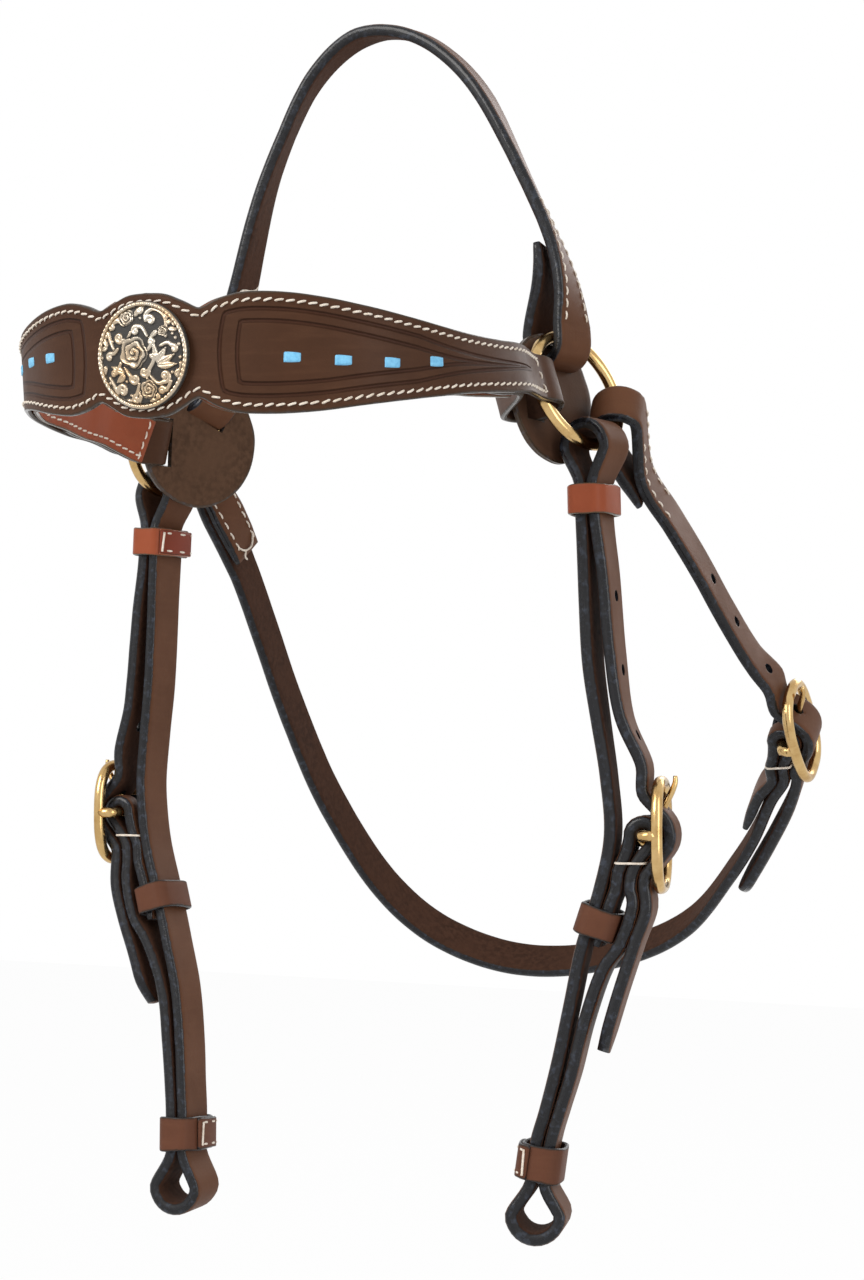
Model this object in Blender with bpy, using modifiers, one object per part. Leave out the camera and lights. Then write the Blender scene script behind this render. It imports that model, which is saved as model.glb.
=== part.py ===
"""A barcoo bridle: headpiece, browband, two cheeks and a throatlash on two cheek rings.

The near side is +X, the browband faces -Y and the origin is under the middle of the headpiece.
Every strap is a flat grid bent along its route, thickened with Solidify and bevelled.
"""
import bmesh
import bpy
from math import ceil, cos, pi, radians, sin, sqrt
from mathutils import Matrix, Vector

# Sizes are in millimetres and angles in degrees.
MM = 0.001

# Leather
STRAP_WIDTH = 19.0
STRAP_THICK = 4.8
FACE_THICK = 2.6
LINING_THICK = 2.2
EDGE_BEVEL = 1.0
GAP = 0.35
LAYER_GAP = 0.7
TIP_TAPER = 12.0
TIP_DROOP = 4.0
HOLE_DIA = 4.4
HOLE_PITCH = 27.6
THROAT_HOLE_PITCH = 24.0

# Cheek rings and their pads
RING_RADIUS = 22.8
RING_WIRE = 4.8
PAD_THICK = 2.6
# How far each pad reaches past the middle of its ring's wire
PAD_MARGIN = {"near": 2.8, "far": 4.6}
# Each pad stands off its ring, least at the top and most at the bottom rear
PAD_TILT_DOWN = 0.225
PAD_TILT_REAR = 0.085
PAD_SHIFT = {"near": (-3.5, 1.0), "far": (3.0, 1.5)}

# Where each ring hangs, and how its plane faces forward and leans inward
RING_SPREAD = 91.5
RING_HEIGHT = {"near": -153.6, "far": -160.7}
RING_FORWARD = {"near": 17.3, "far": -20.0}
RING_LEAN = {"near": 19.0, "far": 17.0}

# Buckles
BUCKLE_HEIGHT = 44.4
BUCKLE_WIDTH = 33.0
BUCKLE_WIRE = 4.6
BUCKLE_SQUARENESS = 2.8
BAR_DIA = 4.4
BAR_SET_IN = 6.0
LUG_BEND = 2.0
TONGUE_DIA = 3.0
TONGUE_SWING = 4.0
BUCKLE_SWING = 2.5

# The two sides of the fold round a bar: how far inside the bar they lie, and how far below it
CHAPE_INNER = [(10.2, 20.0), (9.4, 13.5), (6.9, 8.0)]
CHAPE_OUTER = [(0.7, 8.2), (3.7, 13.5), (4.7, 20.0)]

# Keepers
KEEPER_WALL = 1.7
KEEPER_GAP = 0.75
# Straight run of the strap past each end of a keeper
KEEPER_RUN = 1.0
TOP_KEEPER_LENGTH = 11.5
MIDDLE_KEEPER_LENGTH = 11.5
BIT_KEEPER_LENGTH = 13.5

# Hollows of the loops on the rings and of the bit loops
LOOP_HOLLOW = 6.4
LOOP_WAIST = 1.1
WAIST_EASE = 12.0
BIT_LOOP_RADIUS = 6.8

# Concho
CONCHO_RADIUS = 18.3
CONCHO_DOME = 3.6
CONCHO_POST = 5.0
NUT_RADIUS = 5.5
NUT_THICK = 1.8

# Lengths of a strap between two cross-sections, straight and round the browband's lobes
STEP = 13.0
LOBE_STEP = 5.5

SIDES = {"near": 1.0, "far": -1.0}

# How each cheek hangs. The inner leg's distance out from the middle is given by height,
# and so are the fore-and-aft place of the strap and the turn of its outer face to the rear.
# The buckle's bar stands outside that leg.
CHEEK = {
    "near": {
        "leg": [(-480, 76.0), (-462, 75.9), (-454, 76.3), (-437, 78.3), (-423, 82.2), (-396, 88.0),
                (-369, 92.7), (-348, 99.0), (-333, 102.7), (-317, 104.2), (-288, 100.8), (-258, 97.0),
                (-226, 96.0), (-190, 95.4), (-150, 95.4)],
        "fore": [(-480, -11.0), (-445, -8.0), (-355, 2.0), (-325, 4.0), (-260, 2.0), (-196, 0.6),
                 (-172, -0.2)],
        "toe": [(-480, 15.0), (-420, 15.0), (-350, 13.0), (-300, 13.0), (-262, 8.0), (-204, 4.0),
                (-188, -3.0), (-176, -9.0), (-165, -12.0)],
        "bar_out": 12.37, "bar_height": -323.4, "ring_at": 88.0,
        "top_keeper": -196.5, "middle_keeper": -355.5, "bit_keeper": -445.5, "loop": -464.0, "tip": -404.5,
    },
    "far": {
        "leg": [(-486, 77.0), (-468, 76.8), (-448, 77.0), (-425, 79.6), (-396, 83.5), (-372, 90.4),
                (-348, 98.0), (-338, 101.2), (-328, 104.2), (-314, 106.6), (-290, 105.0), (-264, 101.6),
                (-219, 98.4), (-196, 97.0), (-160, 97.0)],
        "fore": [(-486, -11.0), (-450, -8.0), (-353, 2.0), (-318, 4.0), (-260, 2.0), (-204, 0.0),
                 (-182, 0.0)],
        "toe": [(-486, -5.0), (-420, -4.0), (-360, -3.0), (-300, -2.0), (-262, 0.0), (-210, 2.0), (-192, 9.0),
                (-178, 18.0), (-168, 21.0)],
        "bar_out": 11.11, "bar_height": -317.8, "ring_at": 90.0,
        "top_keeper": -204.0, "middle_keeper": -353.0, "bit_keeper": -448.0, "loop": -468.0, "tip": -396.5,
    },
}

# Route of the headpiece's middle line from the top down each side to just above its ring
CROWN_FLAT = 8.0
CROWN_TOP = 0.8
CROWN = {
    "near": [(12.9, 0.0, -0.3), (24.0, 0.0, -4.6), (33.8, 0.0, -11.9), (44.6, 0.0, -22.5),
             (52.4, 0.0, -32.7), (59.2, 0.0, -46.2), (66.2, 0.0, -60.6), (72.6, 0.0, -74.3),
             (78.6, 0.0, -87.0), (82.8, 0.0, -96.0), (86.2, 0.0, -105.0), (88.9, 0.5, -116.0)],
    "far": [(9.8, 0.0, -2.6), (20.8, 0.0, -9.8), (30.1, 0.0, -20.2), (38.3, 0.0, -36.6), (46.0, 0.0, -51.6),
            (54.7, 0.5, -78.6), (62.0, 2.0, -104.8), (71.0, 5.0, -121.0)],
}
# How far the headpiece's middle is tipped to the front, and its twist by height on the way down
CROWN_TILT = 12.0
CROWN_TWIST = {"near": [(2, CROWN_TILT), (0.6, CROWN_TILT), (-2, 9.0), (-11, 3.0), (-31, -3.0), (-60, -12.0),
                        (-87, -14.0), (-105, -6.0), (-116, 3.0)],
               "far": [(2, CROWN_TILT), (0.6, CROWN_TILT), (-10, 18.0), (-30, 23.0), (-52, 20.0), (-79, 10.0),
                       (-105, 3.0), (-121, 0.0)]}
CROWN_HOOK_AT = {"near": 270.0, "far": 292.0}
# Straight run above each fold round a ring
HOOK_RISE = 4.0
# How many points of the route above each sewn end lies along
CROWN_TURNBACK_COUNT = {"near": 4, "far": 2}
# Depth of the flat pressed into the inner face where the headpiece rests on the poll
SEAT_DEPTH = 0.2

# Plan of the browband's face from its middle to a ring
BROW_PLAN = [(0.0, -155.0), (16.0, -154.0), (32.0, -150.5), (47.0, -145.5), (60.0, -138.0), (71.5, -128.5),
             (80.5, -116.0), (87.0, -101.5), (91.0, -86.0), (93.5, -71.0), (94.0, -56.0)]
BROW_TILT = 6.0
# Height of its middle line and half its depth, by distance from the middle
BROW_MIDDLE = {"near": [(0, -158.4), (20, -158.7), (38, -159.4), (63, -160.0), (88, -159.8), (115, -158.8),
                        (148, -158.0)],
               "far": [(0, -158.4), (20, -156.8), (40, -155.6), (66, -154.2), (90, -154.6), (120, -157.0),
                       (148, -159.0)]}
BROW_HALF = {"near": [(0, 21.2), (8, 20.4), (14, 17.8), (19, 15.2), (21, 15.2), (26, 17.7), (32, 19.6),
                      (38, 20.3), (50, 20.1), (63, 18.8), (75, 16.8), (88, 14.7), (100, 12.9), (115, 11.0),
                      (130, 10.0), (148, 9.5), (400, 9.5)],
             "far": [(0, 21.2), (8, 20.4), (14, 17.9), (19, 15.8), (21, 15.8), (26, 17.6), (32, 19.0),
                     (38, 19.5), (50, 18.2), (66, 15.6), (80, 13.6), (100, 11.8), (120, 10.4), (140, 9.6),
                     (160, 9.5), (400, 9.5)]}
# Where the turned-back tip lies, as a share of the plan's last two spans
BROW_TIP = 0.6

# The throatlash lies in one plane that slants down to the rear
THROAT_SLANT = 38.0
THROAT_AT = {"near": 24.0, "far": 29.0}
THROAT_BILLET = [(105.4, 27.0), (111.8, 48.0), (118.4, 71.0), (124.2, 95.0), (131.0, 118.0)]
THROAT_BILLET_TWIST = -8.0
THROAT_BAR = (138.0, 156.0)
THROAT_BELOW_BUCKLE = [(126.0, 187.0), (113.3, 209.0)]
THROAT_TAIL = [(133.7, 190.0), (120.3, 212.0), (100.5, 241.0)]
THROAT_STRAP = [(98.0, 230.0), (70.5, 261.0), (40.0, 277.5), (-5.0, 286.0), (-35.0, 281.0), (-62.0, 264.0),
                (-79.5, 237.0), (-92.0, 183.0), (-94.0, 128.0), (-92.0, 82.0), (-91.0, 50.0)]
# How many points of the strap the far sewn end lies along
THROAT_TURNBACK_COUNT = 2
# Where the far sewn end stops, as a share of the span below the loop
THROAT_FAR_END = 0.35
# How far each end loop keeps the strap's own twist, and how slack it hangs on the wire
THROAT_UNTWIST = {"near": 0.3, "far": 0.3}
THROAT_SLACK = {"near": 0.8, "far": 1.2}

LAYER = STRAP_THICK + LAYER_GAP
WIRE = RING_WIRE / 2
BAR = BAR_DIA / 2
RIM = BUCKLE_WIRE / 2
HALF_STRAP = STRAP_WIDTH / 2
RING_SAG = RING_RADIUS - sqrt(RING_RADIUS ** 2 - HALF_STRAP ** 2)
WRAP_RADIUS = BAR + GAP + STRAP_THICK / 2
BULGE_RADIUS = WRAP_RADIUS + STRAP_THICK + GAP + 0.1

parts = None
cutters = None


def clear_scene():
    for obj in list(bpy.data.objects):
        bpy.data.objects.remove(obj, do_unlink=True)


def new_collection(name):
    collection = bpy.data.collections.new(name)
    bpy.context.scene.collection.children.link(collection)
    return collection


def material(name, colour, roughness, metallic=0.0):
    mat = bpy.data.materials.new(name)
    mat.use_nodes = True
    shader = mat.node_tree.nodes["Principled BSDF"]
    shader.inputs["Base Color"].default_value = (*colour, 1.0)
    shader.inputs["Roughness"].default_value = roughness
    shader.inputs["Metallic"].default_value = metallic
    return mat


def add_part(obj, mat):
    """Names the object's material and puts it in the bridle's collection."""
    parts.objects.link(obj)
    obj.data.materials.clear()
    obj.data.materials.append(mat)
    return obj


def add_cutter(obj):
    cutters.objects.link(obj)
    obj.hide_render = True
    obj.display_type = "WIRE"
    return obj


def boolean(obj, other, operation):
    modifier = obj.modifiers.new(operation.lower(), "BOOLEAN")
    modifier.operation = operation
    modifier.object = other
    return modifier


def bevel(obj, width, segments=1, angle=40.0):
    modifier = obj.modifiers.new("edge", "BEVEL")
    modifier.width = width * MM
    modifier.segments = segments
    modifier.limit_method = "ANGLE"
    modifier.angle_limit = radians(angle)
    return modifier


def mesh_object(name, bm):
    mesh = bpy.data.meshes.new(name)
    bm.to_mesh(mesh)
    bm.free()
    return bpy.data.objects.new(name, mesh)


def smooth_shading(obj):
    obj.data.shade_smooth()
    obj.data.set_sharp_from_angle(angle=radians(40))


def frame_matrix(origin, x_axis, y_axis, z_axis):
    """Matrix of a frame whose origin is in millimetres."""
    turn = Matrix((x_axis, y_axis, z_axis)).transposed().to_4x4()
    return Matrix.Translation(origin * MM) @ turn


def read_table(table, at):
    """Straight-line value from a list of (key, value), which may run either way."""
    rows = sorted(table)
    if at <= rows[0][0]:
        return rows[0][1]
    for (a, low), (b, high) in zip(rows, rows[1:]):
        if at <= b:
            return low + (high - low) * (at - a) / (b - a)
    return rows[-1][1]


def read_smooth(table, at):
    """Like read_table, but with each stretch eased by a cubic through its neighbours."""
    rows = sorted(table)
    if at <= rows[0][0]:
        return rows[0][1]
    if at >= rows[-1][0]:
        return rows[-1][1]
    index = max(i for i, row in enumerate(rows[:-1]) if row[0] <= at)
    slopes = []
    for i in (index, index + 1):
        low = rows[max(i - 1, 0)]
        high = rows[min(i + 1, len(rows) - 1)]
        slopes.append((high[1] - low[1]) / (high[0] - low[0]))
    span = rows[index + 1][0] - rows[index][0]
    t = (at - rows[index][0]) / span
    value = (2 * t ** 3 - 3 * t ** 2 + 1) * rows[index][1]
    value += (t ** 3 - 2 * t ** 2 + t) * span * slopes[0]
    value += (-2 * t ** 3 + 3 * t ** 2) * rows[index + 1][1]
    value += (t ** 3 - t ** 2) * span * slopes[1]
    return value


def arc(centre, radius, start, end, steps):
    """Points on an arc round centre, from start to end in degrees."""
    points = []
    for i in range(steps + 1):
        angle = radians(start + (end - start) * i / steps)
        points.append((centre[0] + radius * cos(angle), centre[1] + radius * sin(angle)))
    return points


def smooth_route(keys, step=STEP):
    """A smooth route through keys of (centre, across), cut into pieces no longer than step."""
    points = [Vector(point) for point, _ in keys]
    sides = [across for _, across in keys]
    points = [points[0] * 2 - points[1]] + points + [points[-1] * 2 - points[-2]]
    route = []
    for number in range(len(sides) - 1):
        a, b, c, d = points[number:number + 4]
        knots = [0.0]
        for p, q in ((a, b), (b, c), (c, d)):
            knots.append(knots[-1] + max((q - p).length, 1e-6) ** 0.5)
        pieces = max(1, ceil((c - b).length / step))
        for i in range(pieces):
            t = knots[1] + (knots[2] - knots[1]) * i / pieces
            ab = a.lerp(b, (t - knots[0]) / (knots[1] - knots[0]))
            bc = b.lerp(c, (t - knots[1]) / (knots[2] - knots[1]))
            cd = c.lerp(d, (t - knots[2]) / (knots[3] - knots[2]))
            abc = ab.lerp(bc, (t - knots[0]) / (knots[2] - knots[0]))
            bcd = bc.lerp(cd, (t - knots[1]) / (knots[3] - knots[1]))
            across = sides[number].lerp(sides[number + 1], i / pieces)
            route.append((abc.lerp(bcd, (t - knots[1]) / (knots[2] - knots[1])), across))
    route.append((points[-2], sides[-1]))
    return route


def beside(keys, distance):
    """The keys moved through the leather's thickness, by a distance for each key or one for all."""
    centres = [Vector(point) for point, _ in keys]
    moved = []
    for index, travel in enumerate(directions(centres)):
        offset = distance[index] if isinstance(distance, (list, tuple)) else distance
        across = keys[index][1]
        moved.append((centres[index] + travel.cross(across).normalized() * offset, across))
    return moved


def directions(centres):
    """Unit direction of travel at each point of a route."""
    last = len(centres) - 1
    return [(centres[min(i + 1, last)] - centres[max(i - 1, 0)]).normalized() for i in range(last + 1)]


def along(centres):
    """Distance travelled at each point of a route."""
    run = [0.0]
    for a, b in zip(centres, centres[1:]):
        run.append(run[-1] + (b - a).length)
    return run


def square_up(route):
    """Route of (centre, across), with each across made a unit vector square to the travel."""
    centres = [centre for centre, _ in route]
    squared = []
    for (centre, across), travel in zip(route, directions(centres)):
        squared.append((centre, (across - travel * across.dot(travel)).normalized()))
    return squared


def strap(name, route, thick, mat, half_width, edge=EDGE_BEVEL, origin=Vector()):
    """Leather bent along the route. half_width gives half the width at each distance along it."""
    route = square_up(route)
    run = along([centre for centre, _ in route])
    columns = len(route) - 1
    bm = bmesh.new()
    bmesh.ops.create_grid(bm, x_segments=columns, y_segments=1, size=1.0)
    for vert in bm.verts:
        index = round((vert.co.x + 1) / 2 * columns)
        centre, across = route[index]
        vert.co = (centre - origin + across * vert.co.y * half_width(run[index])) * MM
    obj = add_part(mesh_object(name, bm), mat)
    obj.location = origin * MM
    thickness = obj.modifiers.new("thickness", "SOLIDIFY")
    thickness.thickness = thick * MM
    thickness.offset = 0.0
    thickness.use_even_offset = True
    bevel(obj, edge)
    smooth_shading(obj)
    return obj


def plain_width(_):
    return HALF_STRAP


def waisted(route, places, base):
    """The half width that base gives, narrowed where the route passes over a ring's wire."""
    run = along([centre for centre, _ in route])

    def half_width(at):
        index = min(range(len(run)), key=lambda i: abs(run[i] - at))
        nearest = min((route[index][0] - place).length for place in places)
        share = min(max((nearest - LOOP_HOLLOW * 1.9) / WAIST_EASE, 0.0), 1.0)
        return base(at) - LOOP_WAIST * (1 - share * share * (3 - 2 * share))
    return half_width


def tapered_ends(total, start_point=0.0, end_point=0.0):
    """Half width of a strap whose ends come to a blunt point over the lengths given."""
    blunt = 0.35

    def half_width(run):
        share = 1.0
        if start_point:
            share = min(share, blunt + (1 - blunt) * sin(pi / 2 * min(run / start_point, 1.0)))
        if end_point:
            share = min(share, blunt + (1 - blunt) * sin(pi / 2 * min((total - run) / end_point, 1.0)))
        return HALF_STRAP * share
    return half_width


def cylinder(name, radius, length, matrix, sides=16):
    """Closed cylinder along the matrix's Z axis, centred on it. Sizes are in millimetres."""
    bm = bmesh.new()
    bmesh.ops.create_cone(bm, cap_ends=True, segments=sides, radius1=radius * MM, radius2=radius * MM,
                          depth=length * MM)
    obj = mesh_object(name, bm)
    obj.matrix_world = matrix
    return obj


def box(name, size, matrix):
    bm = bmesh.new()
    bmesh.ops.create_cube(bm, size=1.0)
    bmesh.ops.scale(bm, vec=Vector(size) * MM, verts=bm.verts)
    obj = mesh_object(name, bm)
    obj.matrix_world = matrix
    return obj


def tube(name, points, radius, closed=False, radii=None, sides=2):
    """A round wire through the points as a welded mesh object, not yet linked."""
    curve = bpy.data.curves.new(name, "CURVE")
    curve.dimensions = "3D"
    curve.bevel_depth = radius * MM
    curve.bevel_resolution = sides
    curve.use_fill_caps = True
    spline = curve.splines.new("POLY")
    spline.points.add(len(points) - 1)
    for i, point in enumerate(points):
        spline.points[i].co = (*(Vector(point) * MM), 1.0)
        spline.points[i].radius = radii[i] if radii else 1.0
    spline.use_cyclic_u = closed
    guide = bpy.data.objects.new(name, curve)
    bpy.context.scene.collection.objects.link(guide)
    depsgraph = bpy.context.evaluated_depsgraph_get()
    mesh = bpy.data.meshes.new_from_object(guide.evaluated_get(depsgraph))
    mesh.name = name
    bm = bmesh.new()
    bm.from_mesh(mesh)
    bmesh.ops.remove_doubles(bm, verts=bm.verts, dist=0.00002)
    bmesh.ops.recalc_face_normals(bm, faces=bm.faces)
    bm.to_mesh(mesh)
    bm.free()
    bpy.data.objects.remove(guide, do_unlink=True)
    bpy.data.curves.remove(curve)
    return bpy.data.objects.new(name, mesh)


class Ring:
    """A cheek ring: its middle, its outward normal and its rearward and upward directions."""

    def __init__(self, side):
        sign = SIDES[side]
        forward = radians(RING_FORWARD[side])
        lean = radians(RING_LEAN[side])
        self.centre = Vector((sign * RING_SPREAD, 0.0, RING_HEIGHT[side]))
        self.normal = Vector((sign * cos(lean) * cos(forward), -cos(lean) * sin(forward), sin(lean)))
        self.rear = Vector((sign * sin(forward), cos(forward), 0.0))
        self.up = (self.normal.cross(self.rear) * sign).normalized()

    def radial(self, angle):
        """Direction from the middle to the wire, from the rear (0) by the bottom (90) to the front (180)."""
        return self.rear * cos(radians(angle)) - self.up * sin(radians(angle))

    def wire(self, angle):
        return self.centre + self.radial(angle) * RING_RADIUS

    def matrix(self, centre=None):
        return frame_matrix(centre or self.centre, self.rear, self.up, self.rear.cross(self.up))


RINGS = {side: Ring(side) for side in SIDES}


def pad_distance(angle, radius=RING_RADIUS):
    """Distance between a ring's plane and the middle of its pad, at a place on the wire."""
    room = HALF_STRAP * PAD_TILT_REAR + WIRE * PAD_TILT_DOWN + 0.3
    least = WIRE + GAP + PAD_THICK / 2 + room
    lean = PAD_TILT_REAR * cos(radians(angle)) + PAD_TILT_DOWN * sin(radians(angle))
    return least + PAD_TILT_DOWN * RING_RADIUS + lean * radius


def hook_room(angle, thick):
    """Middle radius and inward shift of a fold that holds both the wire and the pad's rim."""
    across = abs(PAD_TILT_DOWN * cos(radians(angle)) - PAD_TILT_REAR * sin(radians(angle)))
    outer = WIRE + GAP + 0.15
    inner = pad_distance(angle) + PAD_THICK / 2 + HALF_STRAP * across + RING_SAG * PAD_TILT_DOWN / 2 + GAP
    return (outer + inner) / 2 + thick / 2, (inner - outer) / 2


def pad_radius(side):
    return RING_RADIUS + PAD_MARGIN[side]


def pad_frame(side):
    """Middle, normal and two in-plane directions of a pad."""
    ring = RINGS[side]
    normal = (ring.normal + ring.rear * PAD_TILT_REAR - ring.up * PAD_TILT_DOWN).normalized()
    up = (ring.up - normal * ring.up.dot(normal)).normalized()
    rear = (ring.rear - normal * ring.rear.dot(normal)).normalized()
    depth = pad_distance(0, 0)
    shift = PAD_SHIFT[side]
    return ring.centre - ring.normal * depth + rear * shift[0] + up * shift[1], normal, rear, up


def ring_fold(ring, angle, thick):
    """Points of a fold round the wire and the pad's rim, from the outer leg to the inner one."""
    radius, shift = hook_room(angle, thick)
    radial = ring.radial(angle)
    centre = ring.wire(angle) - radial * RING_SAG - ring.normal * shift
    fold = [centre + (ring.normal * cos(radians(a)) - radial * sin(radians(a))) * radius
            for a in range(0, 181, 22)]
    return centre, radial, fold


class CheekFrame:
    """Turns (distance out, height) on a cheek into space, by the way that cheek hangs."""

    def __init__(self, side):
        self.sign = SIDES[side]
        self.shape = CHEEK[side]

    def leg(self, z):
        return read_smooth(self.shape["leg"], z)

    def axes(self, z):
        toe = radians(read_smooth(self.shape["toe"], z))
        out = Vector((self.sign * cos(toe), sin(toe), 0.0))
        across = Vector((-self.sign * sin(toe), cos(toe), 0.0))
        return out, across

    def place(self, s, z):
        base = Vector((self.sign * self.leg(z), read_smooth(self.shape["fore"], z), z))
        return base + self.axes(z)[0] * (s - self.leg(z))

    def layer(self, offset, z):
        """Point of a layer that lies offset outside the inner leg, as (distance out, height)."""
        return (self.leg(z) + offset, z)

    def bar(self):
        """Middle of the buckle's bar."""
        return self.layer(self.shape["bar_out"], self.shape["bar_height"])

    def chord(self, z, reach):
        """Middle and direction of the inner leg's straight run inside a keeper."""
        low = self.place(self.leg(z - reach), z - reach)
        high = self.place(self.leg(z + reach), z + reach)
        return (low + high) / 2, (high - low).normalized()


def rim_height(y):
    """Height of the middle of a buckle's wire over its bar, at a distance from the buckle's middle."""
    share = min(abs(y) / (BUCKLE_WIDTH / 2 - RIM), 1.0)
    return (BUCKLE_HEIGHT / 2 - RIM) * (1 - share ** BUCKLE_SQUARENESS) ** (1 / BUCKLE_SQUARENESS)


def weave(bar):
    """Points of a billet that comes down inside the top rim, over the bar and inside the bottom rim."""
    clear = RIM + GAP + STRAP_THICK / 2 + 0.2
    rim = bar[0] + BAR_SET_IN
    top = rim_height(0.0)
    edge = rim_height(HALF_STRAP)
    swing = top * sin(radians(BUCKLE_SWING))
    inside = rim - clear
    points = [(inside - swing, bar[1] + top + 6), (inside - swing, bar[1] + top)]
    points += arc((rim - swing, bar[1] + edge), clear, 182.0, 216.0, 2)
    points += arc(bar, BULGE_RADIUS + 0.15, 40.0, -40.0, 4)
    points += arc((rim, bar[1] - edge), clear, 144.0, 178.0, 2)
    points += [(inside, bar[1] - top)]
    return points


def chape(bar):
    """Points of the fold round the bar, from the sewn end up the inner side and down the outer one."""
    points = [(bar[0] - inward, bar[1] - below) for inward, below in CHAPE_INNER]
    points += arc(bar, WRAP_RADIUS, 188, -44, 11)
    points += [(bar[0] - inward, bar[1] - below) for inward, below in CHAPE_OUTER]
    return points


def cheek_route(side):
    """Centre line of one cheek strap as (distance out, height), from its sewn end to its tip."""
    frame = CheekFrame(side)
    shape = CHEEK[side]
    bar = frame.bar()
    keeper = shape["middle_keeper"]
    keeper_top = keeper + MIDDLE_KEEPER_LENGTH / 2
    keeper_low = keeper - MIDDLE_KEEPER_LENGTH / 2
    past_keeper = 2 * LAYER + KEEPER_WALL + GAP + KEEPER_GAP + 0.2
    points = [frame.layer(LAYER, keeper_low - 4), frame.layer(LAYER, keeper_low - KEEPER_RUN)]
    points += [frame.layer(LAYER, keeper_top + KEEPER_RUN)]
    points += chape(bar)
    points += [frame.layer(past_keeper, keeper_top + KEEPER_RUN), frame.layer(past_keeper, keeper_low - 3)]
    points += [frame.layer(past_keeper * 0.72, keeper_low - 12)]
    points += [frame.layer(LAYER + 1.2, keeper_low - 32), frame.layer(LAYER + 0.7, keeper_low - 52)]
    bit = shape["bit_keeper"]
    bit_top = bit + BIT_KEEPER_LENGTH / 2
    bit_low = bit - BIT_KEEPER_LENGTH / 2
    points += [frame.layer(LAYER, bit_top + 12), frame.layer(LAYER, bit_top + KEEPER_RUN)]
    points += [frame.layer(LAYER, bit_low - KEEPER_RUN)]
    loop = (frame.leg(shape["loop"]) + LAYER / 2, shape["loop"])
    points += arc(loop, BIT_LOOP_RADIUS + STRAP_THICK / 2, -6, -174, 7)
    points += [frame.layer(0, bit_low - KEEPER_RUN), frame.layer(0, bit_top + KEEPER_RUN)]
    points += [frame.layer(0, bit_top + 12)]
    keeper = shape["top_keeper"]
    keeper_top = keeper + TOP_KEEPER_LENGTH / 2
    keeper_low = keeper - TOP_KEEPER_LENGTH / 2
    rungs = 9
    first = bit_top + 30
    last = keeper_low - 14
    points += [frame.layer(0, first + (last - first) * i / rungs) for i in range(rungs + 1)]
    points += [frame.layer(0, keeper_low - KEEPER_RUN), frame.layer(0, keeper_top + KEEPER_RUN)]
    wire = RINGS[side].wire(shape["ring_at"])
    rise = RING_SAG + HALF_STRAP * abs(cos(radians(shape["ring_at"])))
    crown = (frame.sign * wire.x, wire.z + WIRE + rise + GAP - LOOP_HOLLOW)
    points += arc(crown, LOOP_HOLLOW + STRAP_THICK / 2, 182, -2, 9)
    points += [frame.layer(LAYER, keeper_top + KEEPER_RUN), frame.layer(LAYER, keeper_low - KEEPER_RUN)]
    points += [frame.layer(LAYER + 1.9, keeper_low - 22), frame.layer(LAYER + 3.4, keeper_low - 52)]
    points += [frame.layer(LAYER + 3.8, bar[1] + 44)]
    points += weave(bar)
    keeper_top = shape["middle_keeper"] + MIDDLE_KEEPER_LENGTH / 2
    keeper_low = shape["middle_keeper"] - MIDDLE_KEEPER_LENGTH / 2
    tail = past_keeper + LAYER
    points += [frame.layer(tail + 0.2, keeper_top - 1), frame.layer(tail, keeper_low - 3)]
    points += [frame.layer(tail - TIP_DROOP / 2, (keeper_low + shape["tip"]) / 2)]
    points += [frame.layer(tail - TIP_DROOP, shape["tip"])]
    return points


def cheek_stations(side):
    frame = CheekFrame(side)
    flat = smooth_route([((*point, 0.0), Vector((0.0, 0.0, 1.0))) for point in cheek_route(side)])
    return [(frame.place(p.x, p.y), frame.axes(p.y)[1]) for p, _ in flat]


def buckle_outline(steps=32):
    """Closed oval of the frame's wire, flattened at its sides and ends, in the buckle's Y and Z."""
    half_width = BUCKLE_WIDTH / 2 - RIM
    half_height = BUCKLE_HEIGHT / 2 - RIM
    power = 2 / BUCKLE_SQUARENESS
    points = []
    for i in range(steps):
        angle = 2 * pi * (i + 0.5) / steps
        y = half_width * abs(cos(angle)) ** power * (1 if cos(angle) > 0 else -1)
        z = half_height * abs(sin(angle)) ** power * (1 if sin(angle) > 0 else -1)
        points.append((0.0, y, z))
    return points


def add_buckle(name, matrix, mat):
    """Oval frame with its bar set in behind it. The matrix stands on the bar's middle."""
    outline = [(BAR_SET_IN, y, z) for _, y, z in buckle_outline()]
    frame = add_part(tube(name, outline, RIM, closed=True), mat)
    frame.matrix_world = matrix
    reach = BUCKLE_WIDTH / 2 - RIM
    lug = [(BAR_SET_IN, -reach), (BAR_SET_IN * 0.45, -reach), (BAR_SET_IN * 0.1, -reach + LUG_BEND * 0.3)]
    lug += [(0, -reach + LUG_BEND)]
    bar_points = [(x, y, 0.0) for x, y in lug] + [(x, -y, 0.0) for x, y in reversed(lug)]
    bar = add_cutter(tube(name + ".bar", bar_points, BAR))
    bar.matrix_world = matrix
    boolean(frame, bar, "UNION")
    smooth_shading(frame)
    return frame


def tongue_points():
    """Line of the tongue's stem in the buckle's X and Z, from its eye to its tip on the rim."""
    eye = BAR + GAP + TONGUE_DIA * 0.42
    rise = rim_height(0.0)
    rest = BAR_SET_IN + RIM + TONGUE_DIA * 0.4 + GAP + rise * sin(radians(TONGUE_SWING))
    return [(eye * 0.75, 0.0, eye * 0.66), (BAR_SET_IN + 1.4, 0.0, rise * 0.56),
            (rest, 0.0, rise - 0.5), (rest + 0.1, 0.0, rise + RIM)]


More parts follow.
